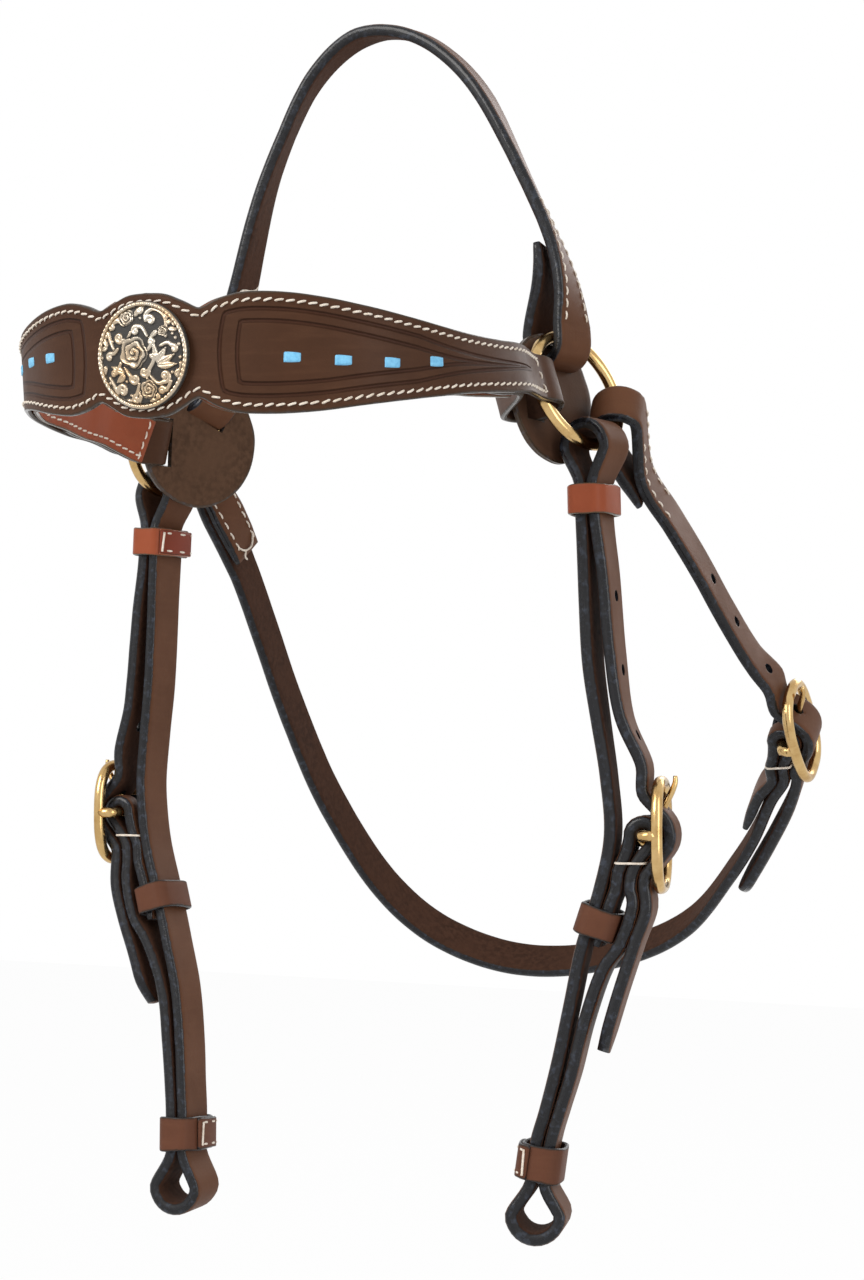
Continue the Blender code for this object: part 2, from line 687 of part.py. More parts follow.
def add_tongue(name, matrix, mat):
    eye_radius = BAR + GAP + TONGUE_DIA * 0.42
    bpy.ops.mesh.primitive_torus_add(major_segments=16, minor_segments=6, major_radius=eye_radius * MM,
                                     minor_radius=TONGUE_DIA * 0.42 * MM)
    eye = bpy.context.object
    eye.name = name
    eye.data.name = name
    for collection in list(eye.users_collection):
        collection.objects.unlink(eye)
    add_part(eye, mat)
    eye.data.transform(Matrix.Rotation(radians(90), 4, "X"))
    eye.matrix_world = matrix
    stem = add_cutter(tube(name + ".stem", tongue_points(), TONGUE_DIA / 2, radii=[1.05, 1.05, 0.8, 0.55]))
    stem.matrix_world = matrix
    boolean(eye, stem, "UNION")
    smooth_shading(eye)
    return eye


def cut_for_tongue(obj, name, matrix):
    """Slot in the fold round the bar, and the hole in the billet that the tongue stands in."""
    turn = Matrix.Rotation(radians(90), 4, "X")
    slot = cylinder(name + ".slot", WRAP_RADIUS + STRAP_THICK / 2 + 0.15, TONGUE_DIA + 2.2, matrix @ turn, 24)
    boolean(obj, add_cutter(slot), "DIFFERENCE")
    line = [Vector(p) for p in tongue_points()]
    swing = line[1].length * sin(radians(TONGUE_SWING)) / 2
    room = [line[0].lerp(line[1], 0.15), line[1], line[1].lerp(line[2], 0.85)]
    room = [point - Vector((swing, 0.0, 0.0)) for point in room]
    hole = tube(name + ".hole", room, TONGUE_DIA / 2 + swing + GAP + 0.25)
    hole.matrix_world = matrix
    boolean(obj, add_cutter(hole), "DIFFERENCE")


def punch(obj, name, route, distances):
    """Round holes through a strap at the distances given along its route."""
    route = square_up(route)
    centres = [centre for centre, _ in route]
    run = along(centres)
    travels = directions(centres)
    for number, distance in enumerate(distances):
        index = max(i for i, value in enumerate(run[:-1]) if value <= distance)
        share = (distance - run[index]) / (run[index + 1] - run[index])
        centre = centres[index].lerp(centres[index + 1], share)
        travel = travels[index].lerp(travels[index + 1], share).normalized()
        across = route[index][1]
        through = travel.cross(across).normalized()
        matrix = frame_matrix(centre, travel, through.cross(travel), through)
        hole = cylinder(f"{name}.punch{number}", HOLE_DIA / 2, STRAP_THICK * 2, matrix, 12)
        boolean(obj, add_cutter(hole), "DIFFERENCE")


def nearest_run(route, target):
    """Distance along the later half of a route to the place nearest the target."""
    centres = [centre for centre, _ in route]
    run = along(centres)
    late = [i for i, value in enumerate(run) if value > run[-1] * 0.4]
    return run[min(late, key=lambda i: (centres[i] - target).length)]


def keeper(name, centre, axes, inner, length, mat):
    """Flat leather band round the layers of a strap. axes are out, across and along."""
    out, across, along_strap = axes
    curve = bpy.data.curves.new(name, "CURVE")
    curve.dimensions = "2D"
    curve.fill_mode = "BOTH"
    curve.extrude = length / 2 * MM
    for grow in (KEEPER_WALL, 0.0):
        half_out = inner[0] / 2 + grow
        half_across = inner[1] / 2 + grow
        corner = 0.9 + grow
        outline = []
        for x, y, start in ((1, 1, 0), (-1, 1, 90), (-1, -1, 180), (1, -1, 270)):
            middle = (x * (half_out - corner), y * (half_across - corner))
            outline += arc(middle, corner, start, start + 90, 3)
        spline = curve.splines.new("POLY")
        spline.points.add(len(outline) - 1)
        for point, (x, y) in zip(spline.points, outline):
            point.co = (x * MM, y * MM, 0.0, 1.0)
        spline.use_cyclic_u = True
    obj = add_part(bpy.data.objects.new(name, curve), mat)
    obj.matrix_world = frame_matrix(centre, out, across, along_strap)
    return obj


def add_cheek(side, leather, tan, brass):
    frame = CheekFrame(side)
    shape = CHEEK[side]
    stations = cheek_stations(side)
    total = along([centre for centre, _ in stations])[-1]
    width = waisted(stations, [RINGS[side].wire(shape["ring_at"])], tapered_ends(total, 0.0, TIP_TAPER))
    obj = strap(f"cheek_strap_{side}", stations, STRAP_THICK, leather, width, origin=RINGS[side].centre)

    bar = frame.bar()
    out, across = frame.axes(bar[1])
    if frame.sign < 0:
        across = -across
    matrix = frame_matrix(frame.place(*bar), out, across, out.cross(across))
    add_buckle(f"cheek_buckle_{side}", matrix, brass)
    add_tongue(f"cheek_tongue_{side}", matrix, brass)
    cut_for_tongue(obj, f"cheek_{side}", matrix)

    hole_run = nearest_run(stations, matrix @ (Vector(tongue_points()[1]) * MM) / MM)
    punch(obj, f"cheek_{side}", stations, [hole_run - HOLE_PITCH * k for k in (1, 2, 3)])

    bands = (("top_keeper", TOP_KEEPER_LENGTH, tan), ("middle_keeper", MIDDLE_KEEPER_LENGTH, leather),
             ("bit_keeper", BIT_KEEPER_LENGTH, leather))
    for key, length, mat in bands:
        z = shape[key]
        middle, travel = frame.chord(z, length / 2 + KEEPER_RUN)
        out, across = frame.axes(z)
        across = (across - travel * across.dot(travel)).normalized()
        square_out = across.cross(travel).normalized()
        if square_out.dot(out) < 0:
            square_out = -square_out
        centre = middle + square_out * LAYER / 2 * abs(travel.z)
        inner = (STRAP_THICK + LAYER + 2 * KEEPER_GAP, STRAP_WIDTH + 2 * KEEPER_GAP)
        if square_out.cross(across).dot(travel) < 0:
            across = -across
        keeper(f"{key}_{side}", centre, (square_out, across, travel), inner, length, mat)
    return matrix


def crown_half(side):
    """Half of the headpiece from its flat middle to its sewn end, as (centre, across)."""
    sign = SIDES[side]
    ring = RINGS[side]
    points = [Vector((sign * CROWN_FLAT / 2, 0.0, CROWN_TOP))]
    points += [Vector((sign * x, y, z)) for x, y, z in CROWN[side]]
    outside = []
    for point, travel in zip(points, directions(points)):
        outward = Vector((-travel.z, 0.0, travel.x)).normalized() * sign
        twist = radians(read_smooth(CROWN_TWIST[side], point.z))
        outside.append((point, Vector((0.0, cos(twist), 0.0)) + outward * sin(twist)))
    centre, radial, fold = ring_fold(ring, CROWN_HOOK_AT[side], STRAP_THICK)
    tangent = radial.cross(ring.normal)
    if tangent.y < 0:
        tangent = -tangent
    radius = (fold[0] - centre).length
    over_rim = PAD_MARGIN[side] + RING_SAG + PAD_SHIFT[side][1] + 2.0
    keys = outside + [(fold[0] + radial * HOOK_RISE, tangent)] + [(point, tangent) for point in fold]
    keys += [(fold[-1] + radial * over_rim * 0.5, tangent)]
    keys += [(fold[-1] + radial * over_rim, tangent)]
    back = outside[:-CROWN_TURNBACK_COUNT[side] - 1:-1]
    inner = beside(back, sign * LAYER)
    return keys + inner[1:]


def add_headpiece(leather):
    near = crown_half("near")
    far = crown_half("far")
    obj = strap("headpiece", smooth_route(far[::-1] + near), STRAP_THICK, leather, plain_width)
    middle, across, out = seat_frame()
    room = STRAP_THICK / 2
    place = frame_matrix(middle + out * room / 2, across.cross(out), across, out)
    flat = box("headpiece.flat", (CROWN_FLAT, STRAP_WIDTH + room, room), place)
    boolean(obj, add_cutter(flat), "DIFFERENCE")
    return obj


def brow_half(side):
    """Half of the browband's face from its middle to its turned-back tip, as (centre, across)."""
    sign = SIDES[side]
    ring = RINGS[side]
    tilt = Vector((0.0, -sin(radians(BROW_TILT)), cos(radians(BROW_TILT))))
    run = along([Vector((x, y, 0.0)) for x, y in BROW_PLAN])
    _, radial, fold = ring_fold(ring, 180, FACE_THICK)
    keys = []
    for (x, y), at in zip(BROW_PLAN, run):
        ease = min(max((at - run[-1] + 60) / 75, 0.0), 1.0)
        height = read_smooth(BROW_MIDDLE[side], at)
        height += (fold[0].z - height) * ease * ease
        keys.append((Vector((sign * x, y, height)), tilt.lerp(ring.up, ease).normalized()))
    over_rim = PAD_MARGIN[side] + RING_SAG + max(-PAD_SHIFT[side][0], 0.0) + 1.0
    outer = (fold[0] + radial * over_rim * 0.6, ring.up)
    tip = beside(keys[-3:] + [outer], -sign * (FACE_THICK + GAP))[:-1]
    tip = [(tip[1][0].lerp(tip[0][0], BROW_TIP), tip[1][1]), tip[1], tip[2]]
    tail = [(fold[-1] + radial * over_rim, ring.up)] + tip[::-1]
    return keys + [outer] + [(point, ring.up) for point in fold] + tail


def brow_stations():
    far = brow_half("far")
    near = brow_half("near")
    stations = square_up(smooth_route(far[::-1] + near[1:], LOBE_STEP))
    run = along([centre for centre, _ in stations])
    middle = min(range(len(run)), key=lambda i: (stations[i][0] - near[0][0]).length)
    return stations, [value - run[middle] for value in run]


def half_height(at):
    """Half the browband's depth, at a distance that is negative on the far side."""
    return read_smooth(BROW_HALF["near" if at > 0 else "far"], abs(at))


def add_browband(face_mat, lining_mat, metal):
    stations, run = brow_stations()
    first = run[0]
    face = strap("browband_face", stations, FACE_THICK, face_mat, lambda at: half_height(at + first), 0.8)

    plan_run = along([Vector((x, y, 0.0)) for x, y in BROW_PLAN])
    tip_run = plan_run[-2] + (plan_run[-3] - plan_run[-2]) * BROW_TIP
    plain = (FACE_THICK + LINING_THICK) / 2 + GAP + 0.15
    over_tip = plain + FACE_THICK + GAP + 0.3
    inner = [(key, at) for key, at in zip(stations, run) if abs(at) < plan_run[-1] - 4]
    offsets = [-read_table([(tip_run - 20, plain), (tip_run - 6, over_tip)], abs(at)) for _, at in inner]
    route = beside([key for key, _ in inner], offsets)
    heights = [half_height(at) - 0.2 for _, at in inner]
    route_run = along([centre for centre, _ in square_up(route)])
    table = list(zip(route_run, heights))
    lining = strap("browband_lining", route, LINING_THICK, lining_mat, lambda at: read_table(table, at), 0.7)

    tilt = radians(BROW_TILT)
    out = Vector((0.0, -cos(tilt), -sin(tilt)))
    up = Vector((0.0, -sin(tilt), cos(tilt)))
    seat = Vector((0.0, BROW_PLAN[0][1], BROW_MIDDLE["near"][0][1])) + out * (FACE_THICK / 2 + GAP)
    add_concho(frame_matrix(seat, up.cross(out), up, out), metal, (face, lining))


def turned(name, profile, steps, matrix):
    """A solid turned round its own Z axis from a profile that runs from the top down."""
    bm = bmesh.new()
    verts = [bm.verts.new((x * MM, 0.0, z * MM)) for x, z in profile]
    for a, b in zip(verts, verts[1:]):
        bm.edges.new((a, b))
    obj = mesh_object(name, bm)
    obj.matrix_world = matrix
    screw = obj.modifiers.new("turn", "SCREW")
    screw.steps = steps
    screw.render_steps = steps
    screw.use_merge_vertices = True
    screw.merge_threshold = 0.00001
    screw.use_smooth_shade = True
    return obj


def add_concho(matrix, metal, leathers):
    """Domed boss whose post goes through both leathers into a round nut behind."""
    layers = FACE_THICK + LINING_THICK + 2 * GAP
    post = CONCHO_POST / 2
    profile = [(0.0, CONCHO_DOME)]
    dome = 5
    for i in range(1, dome + 1):
        x = (CONCHO_RADIUS - 2.4) * i / dome
        profile.append((x, CONCHO_DOME - (CONCHO_DOME - 2.0) * (x / (CONCHO_RADIUS - 2.4)) ** 2))
    profile += [(CONCHO_RADIUS - 1.9, 1.2), (CONCHO_RADIUS - 1.2, 2.5), (CONCHO_RADIUS - 0.3, 1.9)]
    profile += [(CONCHO_RADIUS, 0.9), (CONCHO_RADIUS - 0.4, 0.0), (post, 0.0)]
    profile += [(post, -layers - NUT_THICK - 0.5), (0.0, -layers - NUT_THICK - 0.5)]
    concho = add_part(turned("concho", profile, 48, matrix), metal)
    for leather in leathers:
        hole = cylinder(leather.name + ".post", post + GAP, 30.0, matrix, 24)
        boolean(leather, add_cutter(hole), "DIFFERENCE")
    bore = post + GAP
    top = -layers - GAP - 0.3
    soft = 0.4
    ring = [(bore, top), (NUT_RADIUS - soft, top), (NUT_RADIUS, top - soft)]
    ring += [(NUT_RADIUS, top - NUT_THICK + soft)]
    ring += [(NUT_RADIUS - soft * 1.5, top - NUT_THICK), (bore, top - NUT_THICK), (bore, top)]
    nut = add_part(turned("concho_nut", ring, 24, matrix), metal)
    return concho, nut


def add_ring(side, brass):
    ring = RINGS[side]
    bpy.ops.mesh.primitive_torus_add(major_segments=40, minor_segments=8, major_radius=RING_RADIUS * MM,
                                     minor_radius=WIRE * MM)
    obj = bpy.context.object
    obj.name = f"ring_{side}"
    obj.data.name = obj.name
    for collection in list(obj.users_collection):
        collection.objects.unlink(obj)
    add_part(obj, brass)
    obj.matrix_world = ring.matrix()
    smooth_shading(obj)
    return obj


def add_pad(side, leather):
    """Leather disc behind a ring, slotted for the headpiece and the browband."""
    ring = RINGS[side]
    middle, normal, rear, up = pad_frame(side)
    place = frame_matrix(middle, rear, up, rear.cross(up))
    obj = add_part(cylinder(f"ring_pad_{side}", pad_radius(side), PAD_THICK, place, 40), leather)
    bevel(obj, 0.6)
    for name, angle, thick in (("crown", CROWN_HOOK_AT[side], STRAP_THICK), ("brow", 180.0, FACE_THICK)):
        centre, radial, fold = ring_fold(ring, angle, thick)
        radius = (fold[0] - centre).length
        reach = radius + thick / 2 + GAP
        across = ring.normal.cross(radial)
        slot_middle = centre - radial * (reach / 2 - 0.3) - ring.normal * radius * 0.55
        slot_place = frame_matrix(slot_middle, across, radial, ring.normal.cross(radial).cross(radial))
        size = (STRAP_WIDTH + 1.4, reach + 0.6, radius * 0.9 + 5)
        boolean(obj, add_cutter(box(f"ring_pad_{side}.{name}", size, slot_place)), "DIFFERENCE")
    return obj


class ThroatFrame:
    """The slanting plane that the throatlash lies in. Points in it are (sideways, down)."""

    def __init__(self):
        near = RINGS["near"].wire(THROAT_AT["near"])
        far = RINGS["far"].wire(THROAT_AT["far"])
        self.side = (near - far).normalized()
        self.origin = near - self.side * (near.x / self.side.x)
        slant = radians(THROAT_SLANT)
        down = Vector((0.0, sin(slant), -cos(slant)))
        self.down = (down - self.side * down.dot(self.side)).normalized()
        self.across = self.side.cross(self.down)

    def place(self, point):
        return self.origin + self.side * point[0] + self.down * point[1]

    def flat(self, point):
        """The plane's own coordinates of a point given by its distance from the middle of the bridle."""
        return ((point[0] - self.down.x * point[1]) / self.side.x, point[1])

    def keys(self, points):
        return [(self.place(point), self.across) for point in points]

    def hook(self, side):
        """Loop over a ring's wire, from its inner leg over the top to its outer leg."""
        ring = RINGS[side]
        angle = THROAT_AT[side]
        radial = ring.radial(angle)
        tangent = radial.cross(ring.normal)
        if tangent.dot(self.across) < 0:
            tangent = -tangent
        tangent = tangent.lerp(self.across, THROAT_UNTWIST[side]).normalized()
        out = (self.side - tangent * self.side.dot(tangent)).normalized() * SIDES[side]
        down = (self.down - tangent * self.down.dot(tangent) - out * self.down.dot(out)).normalized()
        centre = ring.wire(angle) + down * (LOOP_HOLLOW - WIRE - RING_SAG - GAP - THROAT_SLACK[side])
        radius = LOOP_HOLLOW + STRAP_THICK / 2
        return [(centre + (out * cos(radians(a)) - down * sin(radians(a))) * radius, tangent)
                for a in range(184, -5, -21)]


def add_throatlash(leather, brass):
    frame = ThroatFrame()
    near_wire = RINGS["near"].wire(THROAT_AT["near"])
    far_wire = RINGS["far"].wire(THROAT_AT["far"])
    bar = frame.flat(THROAT_BAR)
    lower = [frame.flat(point) for point in THROAT_BELOW_BUCKLE]

    def mirrored(points):
        return [(x, 2 * bar[1] - y) for x, y in points]

    twist = radians(THROAT_BILLET_TWIST)
    across = frame.across * cos(twist) + frame.side * sin(twist)
    leg = [(frame.place(frame.flat(point)), across) for point in THROAT_BILLET]
    inner = beside(leg[:2], -LAYER)[::-1]
    inner[0] = (leg[0][0].lerp(leg[1][0], 0.35) + (inner[0][0] - leg[1][0]), inner[0][1])
    below = [Vector((*point, 0.0)) for point in lower]
    flat = Vector((0.0, 0.0, 1.0))
    tail = [frame.flat(point) for point in THROAT_TAIL]
    keys = inner + frame.hook("near") + leg + frame.keys(mirrored(weave(bar)) + tail)
    stations = smooth_route(keys)
    total = along([centre for centre, _ in stations])[-1]
    width = waisted(stations, [near_wire], tapered_ends(total, 0.0, TIP_TAPER))
    billet = strap("throat_billet", stations, STRAP_THICK, leather, width, origin=near_wire)

    matrix = frame_matrix(frame.place(bar), frame.side, frame.across, frame.side.cross(frame.across))
    add_buckle("throat_buckle", matrix, brass)
    add_tongue("throat_tongue", matrix, brass)
    cut_for_tongue(billet, "throat_billet", matrix)
    hole_run = nearest_run(stations, matrix @ (Vector(tongue_points()[1]) * MM) / MM)
    punch(billet, "throat", stations, [hole_run - THROAT_HOLE_PITCH * k for k in (1, 2, 3)])

    sewn = beside([(point, flat) for point in below], -LAYER)
    sewn = [(point.x, point.y) for point, _ in sewn]
    start = [(sewn[0][0] + (sewn[1][0] - sewn[0][0]) * 0.75, sewn[0][1] + (sewn[1][1] - sewn[0][1]) * 0.75)]
    route = start + [sewn[0]] + mirrored(chape(bar)) + lower + [frame.flat(point) for point in THROAT_STRAP]
    keys = frame.keys(route)
    hook = frame.hook("far")[::-1]
    back = beside(keys[:-THROAT_TURNBACK_COUNT - 1:-1], LAYER)
    back[-1] = (back[0][0].lerp(back[-1][0], THROAT_FAR_END), back[-1][1])
    stations = smooth_route(keys + hook + back)
    width = waisted(stations, [far_wire], plain_width)
    strap_obj = strap("throat_strap", stations, STRAP_THICK, leather, width, origin=far_wire)
    cut_for_tongue(strap_obj, "throat_strap", matrix)


def seat_frame():
    """Middle of the flat under the headpiece, the way across it and the way out of the leather."""
    tilt = radians(CROWN_TILT)
    out = Vector((0.0, sin(tilt), -cos(tilt)))
    across = Vector((0.0, cos(tilt), sin(tilt)))
    return Vector((0.0, 0.0, CROWN_TOP)) + out * (STRAP_THICK / 2 - SEAT_DEPTH), across, out


def seat_shift():
    """From the middle of the headpiece's flat to the origin."""
    return -seat_frame()[0]


def seat_on_crown():
    """Moves the whole bridle so that the inner face under the headpiece's middle is at the origin."""
    move = Matrix.Translation(seat_shift() * MM)
    for collection in (parts, cutters):
        for obj in collection.objects:
            obj.matrix_world = move @ obj.matrix_world


def build():
    global parts, cutters
    clear_scene()
    parts = new_collection("barcoo_bridle")
    cutters = new_collection("cutters")
    leather = material("dark brown leather", (0.075, 0.034, 0.022), 0.5)
    lining = material("red tan leather", (0.28, 0.075, 0.03), 0.5)
    brass = material("brass", (0.70, 0.45, 0.18), 0.28, 1.0)
    silver = material("antique silver", (0.45, 0.40, 0.31), 0.35, 1.0)
    add_headpiece(leather)
    add_browband(leather, lining, silver)
    for side in SIDES:
        add_ring(side, brass)
        add_pad(side, leather)
        add_cheek(side, leather, lining, brass)
    add_throatlash(leather, brass)
    seat_on_crown()


build()
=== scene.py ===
from math import ceil, cos, pi, radians, sin, sqrt

import bmesh
import bpy
import numpy as np
from mathutils import Matrix, Vector, noise


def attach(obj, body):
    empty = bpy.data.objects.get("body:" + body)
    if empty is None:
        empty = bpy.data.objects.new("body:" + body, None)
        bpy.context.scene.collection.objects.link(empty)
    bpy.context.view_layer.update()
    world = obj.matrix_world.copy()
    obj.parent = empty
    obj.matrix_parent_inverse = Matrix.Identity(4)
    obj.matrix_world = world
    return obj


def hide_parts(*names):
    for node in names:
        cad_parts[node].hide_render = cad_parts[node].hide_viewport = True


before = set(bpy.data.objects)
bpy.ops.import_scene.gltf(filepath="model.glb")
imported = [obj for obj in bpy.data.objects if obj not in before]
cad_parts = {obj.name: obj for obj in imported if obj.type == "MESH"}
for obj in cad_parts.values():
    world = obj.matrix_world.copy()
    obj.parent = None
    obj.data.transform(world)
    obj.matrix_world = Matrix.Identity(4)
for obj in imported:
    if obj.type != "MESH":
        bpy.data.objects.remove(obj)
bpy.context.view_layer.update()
mm = 0.001
print("frame loaded")

# Sizes and routes are those of the solids, in millimetres and degrees.
sideSigns = {"near": 1.0, "far": -1.0}
routeStep = 2.5
gapSize = 0.35

# Leather
strapWidth = 19.0
strapThick = 4.8
faceThick = 2.6
liningThick = 2.2
layerGap = 0.7
tipTaper = 12.0
tipBlunt = 0.35
tipDroop = 4.0
holeDia = 4.4
holePitch = 27.6
throatHolePitch = 24.0
skive = {"length": 9.0, "least": 2.6, "power": 0.7}
loopHollow = 6.4
loopWaist = 1.1
waistEase = 12.0
bitLoopRadius = 6.8
halfStrap = strapWidth / 2
layerStep = strapThick + layerGap

# Rings and their pads
ringRadius = 22.8
wireRadius = 2.4
ringSpread = 91.5
ringHeight = {"near": -153.6, "far": -160.7}
ringForward = {"near": 17.3, "far": -20.0}
ringLean = {"near": 19.0, "far": 17.0}
padThick = 2.6
padMargin = {"near": 2.8, "far": 4.6}
padTiltDown = 0.225
padTiltRear = 0.085
padShift = {"near": (-3.5, 1.0), "far": (3.0, 1.5)}
ringSag = ringRadius - sqrt(ringRadius ** 2 - halfStrap ** 2)

# Buckles, and the two sides of the fold round a bar as (how far inside it, how far below it)
buckleHeight = 44.4
buckleWidth = 33.0
rimRadius = 2.3
buckleSquareness = 2.8
barRadius = 2.2
barSetIn = 6.0
lugBend = 2.0
tongueDia = 3.0
tongueSwing = 4.0
buckleSwing = 2.5
eyeWire = tongueDia * 0.42
chapeInner = [(10.2, 20.0), (9.4, 13.5), (6.9, 8.0)]
chapeOuter = [(0.7, 8.2), (3.7, 13.5), (4.7, 20.0)]
wrapRadius = barRadius + gapSize + strapThick / 2
bulgeRadius = wrapRadius + strapThick + gapSize + 0.1

# Keepers
keeperWall = 1.7
keeperGap = 0.75
keeperRun = 1.0
keeperLength = {"top_keeper": 11.5, "middle_keeper": 11.5, "bit_keeper": 13.5}

# Concho
conchoRadius = 18.3
conchoPost = 5.0
nutThick = 1.8

# Each cheek's inner leg as (height, value): distance out, distance back and turn
cheekTable = {
    "near": {
        "leg": [(-480, 76.0), (-462, 75.9), (-454, 76.3), (-437, 78.3), (-423, 82.2), (-396, 88.0),
                (-369, 92.7), (-348, 99.0), (-333, 102.7), (-317, 104.2), (-288, 100.8), (-258, 97.0),
                (-226, 96.0), (-190, 95.4), (-150, 95.4)],
        "fore": [(-480, -11.0), (-445, -8.0), (-355, 2.0), (-325, 4.0), (-260, 2.0), (-196, 0.6),
                 (-172, -0.2)],
        "toe": [(-480, 15.0), (-420, 15.0), (-350, 13.0), (-300, 13.0), (-262, 8.0), (-204, 4.0),
                (-188, -3.0), (-176, -9.0), (-165, -12.0)],
        "bar_out": 12.37, "bar_height": -323.4, "ring_at": 88.0,
        "top_keeper": -196.5, "middle_keeper": -355.5, "bit_keeper": -445.5, "loop": -464.0, "tip": -404.5,
    },
    "far": {
        "leg": [(-486, 77.0), (-468, 76.8), (-448, 77.0), (-425, 79.6), (-396, 83.5), (-372, 90.4),
                (-348, 98.0), (-338, 101.2), (-328, 104.2), (-314, 106.6), (-290, 105.0), (-264, 101.6),
                (-219, 98.4), (-196, 97.0), (-160, 97.0)],
        "fore": [(-486, -11.0), (-450, -8.0), (-353, 2.0), (-318, 4.0), (-260, 2.0), (-204, 0.0),
                 (-182, 0.0)],
        "toe": [(-486, -5.0), (-420, -4.0), (-360, -3.0), (-300, -2.0), (-262, 0.0), (-210, 2.0), (-192, 9.0),
                (-178, 18.0), (-168, 21.0)],
        "bar_out": 11.11, "bar_height": -317.8, "ring_at": 90.0,
        "top_keeper": -204.0, "middle_keeper": -353.0, "bit_keeper": -448.0, "loop": -468.0, "tip": -396.5,
    },
}

# Headpiece
crownFlat = 8.0
crownTop = 0.8
crownTable = {
    "near": [(12.9, 0.0, -0.3), (24.0, 0.0, -4.6), (33.8, 0.0, -11.9), (44.6, 0.0, -22.5),
             (52.4, 0.0, -32.7), (59.2, 0.0, -46.2), (66.2, 0.0, -60.6), (72.6, 0.0, -74.3),
             (78.6, 0.0, -87.0), (82.8, 0.0, -96.0), (86.2, 0.0, -105.0), (88.9, 0.5, -116.0)],
    "far": [(9.8, 0.0, -2.6), (20.8, 0.0, -9.8), (30.1, 0.0, -20.2), (38.3, 0.0, -36.6), (46.0, 0.0, -51.6),
            (54.7, 0.5, -78.6), (62.0, 2.0, -104.8), (71.0, 5.0, -121.0)],
}
crownTilt = 12.0
crownTwist = {
    "near": [(2, crownTilt), (0.6, crownTilt), (-2, 9.0), (-11, 3.0), (-31, -3.0), (-60, -12.0),
             (-87, -14.0), (-105, -6.0), (-116, 3.0)],
    "far": [(2, crownTilt), (0.6, crownTilt), (-10, 18.0), (-30, 23.0), (-52, 20.0), (-79, 10.0),
            (-105, 3.0), (-121, 0.0)],
}
crownHookAt = {"near": 270.0, "far": 292.0}
hookRise = 4.0
crownTurnbackCount = {"near": 4, "far": 2}
crownSmoothing = 40
seatDepth = 0.2

# Browband: its plan, and its middle line and half depth by distance from the middle
browStep = 1.6
browPlan = [(0.0, -155.0), (16.0, -154.0), (32.0, -150.5), (47.0, -145.5), (60.0, -138.0), (71.5, -128.5),
            (80.5, -116.0), (87.0, -101.5), (91.0, -86.0), (93.5, -71.0), (94.0, -56.0)]
browTilt = 6.0
browMiddle = {
    "near": [(0, -158.4), (20, -158.7), (38, -159.4), (63, -160.0), (88, -159.8), (115, -158.8),
             (148, -158.0)],
    "far": [(0, -158.4), (20, -156.8), (40, -155.6), (66, -154.2), (90, -154.6), (120, -157.0),
            (148, -159.0)],
}
browHalfTable = {
    "near": [(0, 21.2), (8, 20.4), (14, 17.8), (19, 15.2), (21, 15.2), (26, 17.7), (32, 19.6),
             (38, 20.3), (50, 20.1), (63, 18.8), (75, 16.8), (88, 14.7), (100, 12.9), (115, 11.0),
             (130, 10.0), (148, 9.5), (400, 9.5)],
    "far": [(0, 21.2), (8, 20.4), (14, 17.9), (19, 15.8), (21, 15.8), (26, 17.6), (32, 19.0),
            (38, 19.5), (50, 18.2), (66, 15.6), (80, 13.6), (100, 11.8), (120, 10.4), (140, 9.6),
            (160, 9.5), (400, 9.5)],
}
browTip = 0.6
liningTip = {"first": 16, "last": 32}

# Throatlash, as (sideways, down) in its slanting plane
throatSlant = 38.0
throatAt = {"near": 24.0, "far": 29.0}
throatBillet = [(105.4, 27.0), (111.8, 48.0), (118.4, 71.0), (124.2, 95.0), (131.0, 118.0)]
throatBilletTwist = -8.0
throatBar = (138.0, 156.0)
throatBelowBuckle = [(126.0, 187.0), (113.3, 209.0)]
throatTail = [(133.7, 190.0), (120.3, 212.0), (100.5, 241.0)]
throatStrap = [(98.0, 230.0), (70.5, 261.0), (40.0, 277.5), (-5.0, 286.0), (-35.0, 281.0), (-62.0, 264.0),
               (-79.5, 237.0), (-92.0, 183.0), (-94.0, 128.0), (-92.0, 82.0), (-91.0, 50.0)]
throatUntwist = 0.3
throatSlack = {"near": 0.8, "far": 1.2}
throatSewn = {"high": 38.0, "low": 78.0}


# Routes, as lists of (centre, across)

def frameMatrix(origin, xAxis, yAxis, zAxis):
    # Matrix of a frame whose origin is in millimetres.
    turn = Matrix((xAxis, yAxis, zAxis)).transposed().to_4x4()
    return Matrix.Translation(origin * mm) @ turn


def reading(value, at):
    # A value that is either a number or a function of the distance.
    return value(at) if callable(value) else value


def readTable(table, at):
    # Straight-line value from a list of (key, value), which may run either way.
    rows = sorted(table)
    if at <= rows[0][0]:
        return rows[0][1]
    for (a, low), (b, high) in zip(rows, rows[1:]):
        if at <= b:
            return low + (high - low) * (at - a) / (b - a)
    return rows[-1][1]


def readSmooth(table, at):
    # Like readTable, but with each stretch eased by a cubic through its neighbours.
    rows = sorted(table)
    if at <= rows[0][0]:
        return rows[0][1]
    if at >= rows[-1][0]:
        return rows[-1][1]
    index = max(i for i, row in enumerate(rows[:-1]) if row[0] <= at)
    slopes = []
    for i in (index, index + 1):
        low = rows[max(i - 1, 0)]
        high = rows[min(i + 1, len(rows) - 1)]
        slopes.append((high[1] - low[1]) / (high[0] - low[0]))
    span = rows[index + 1][0] - rows[index][0]
    t = (at - rows[index][0]) / span
    value = (2 * t ** 3 - 3 * t ** 2 + 1) * rows[index][1]
    value += (t ** 3 - 2 * t ** 2 + t) * span * slopes[0]
    value += (-2 * t ** 3 + 3 * t ** 2) * rows[index + 1][1]
    value += (t ** 3 - t ** 2) * span * slopes[1]
    return value


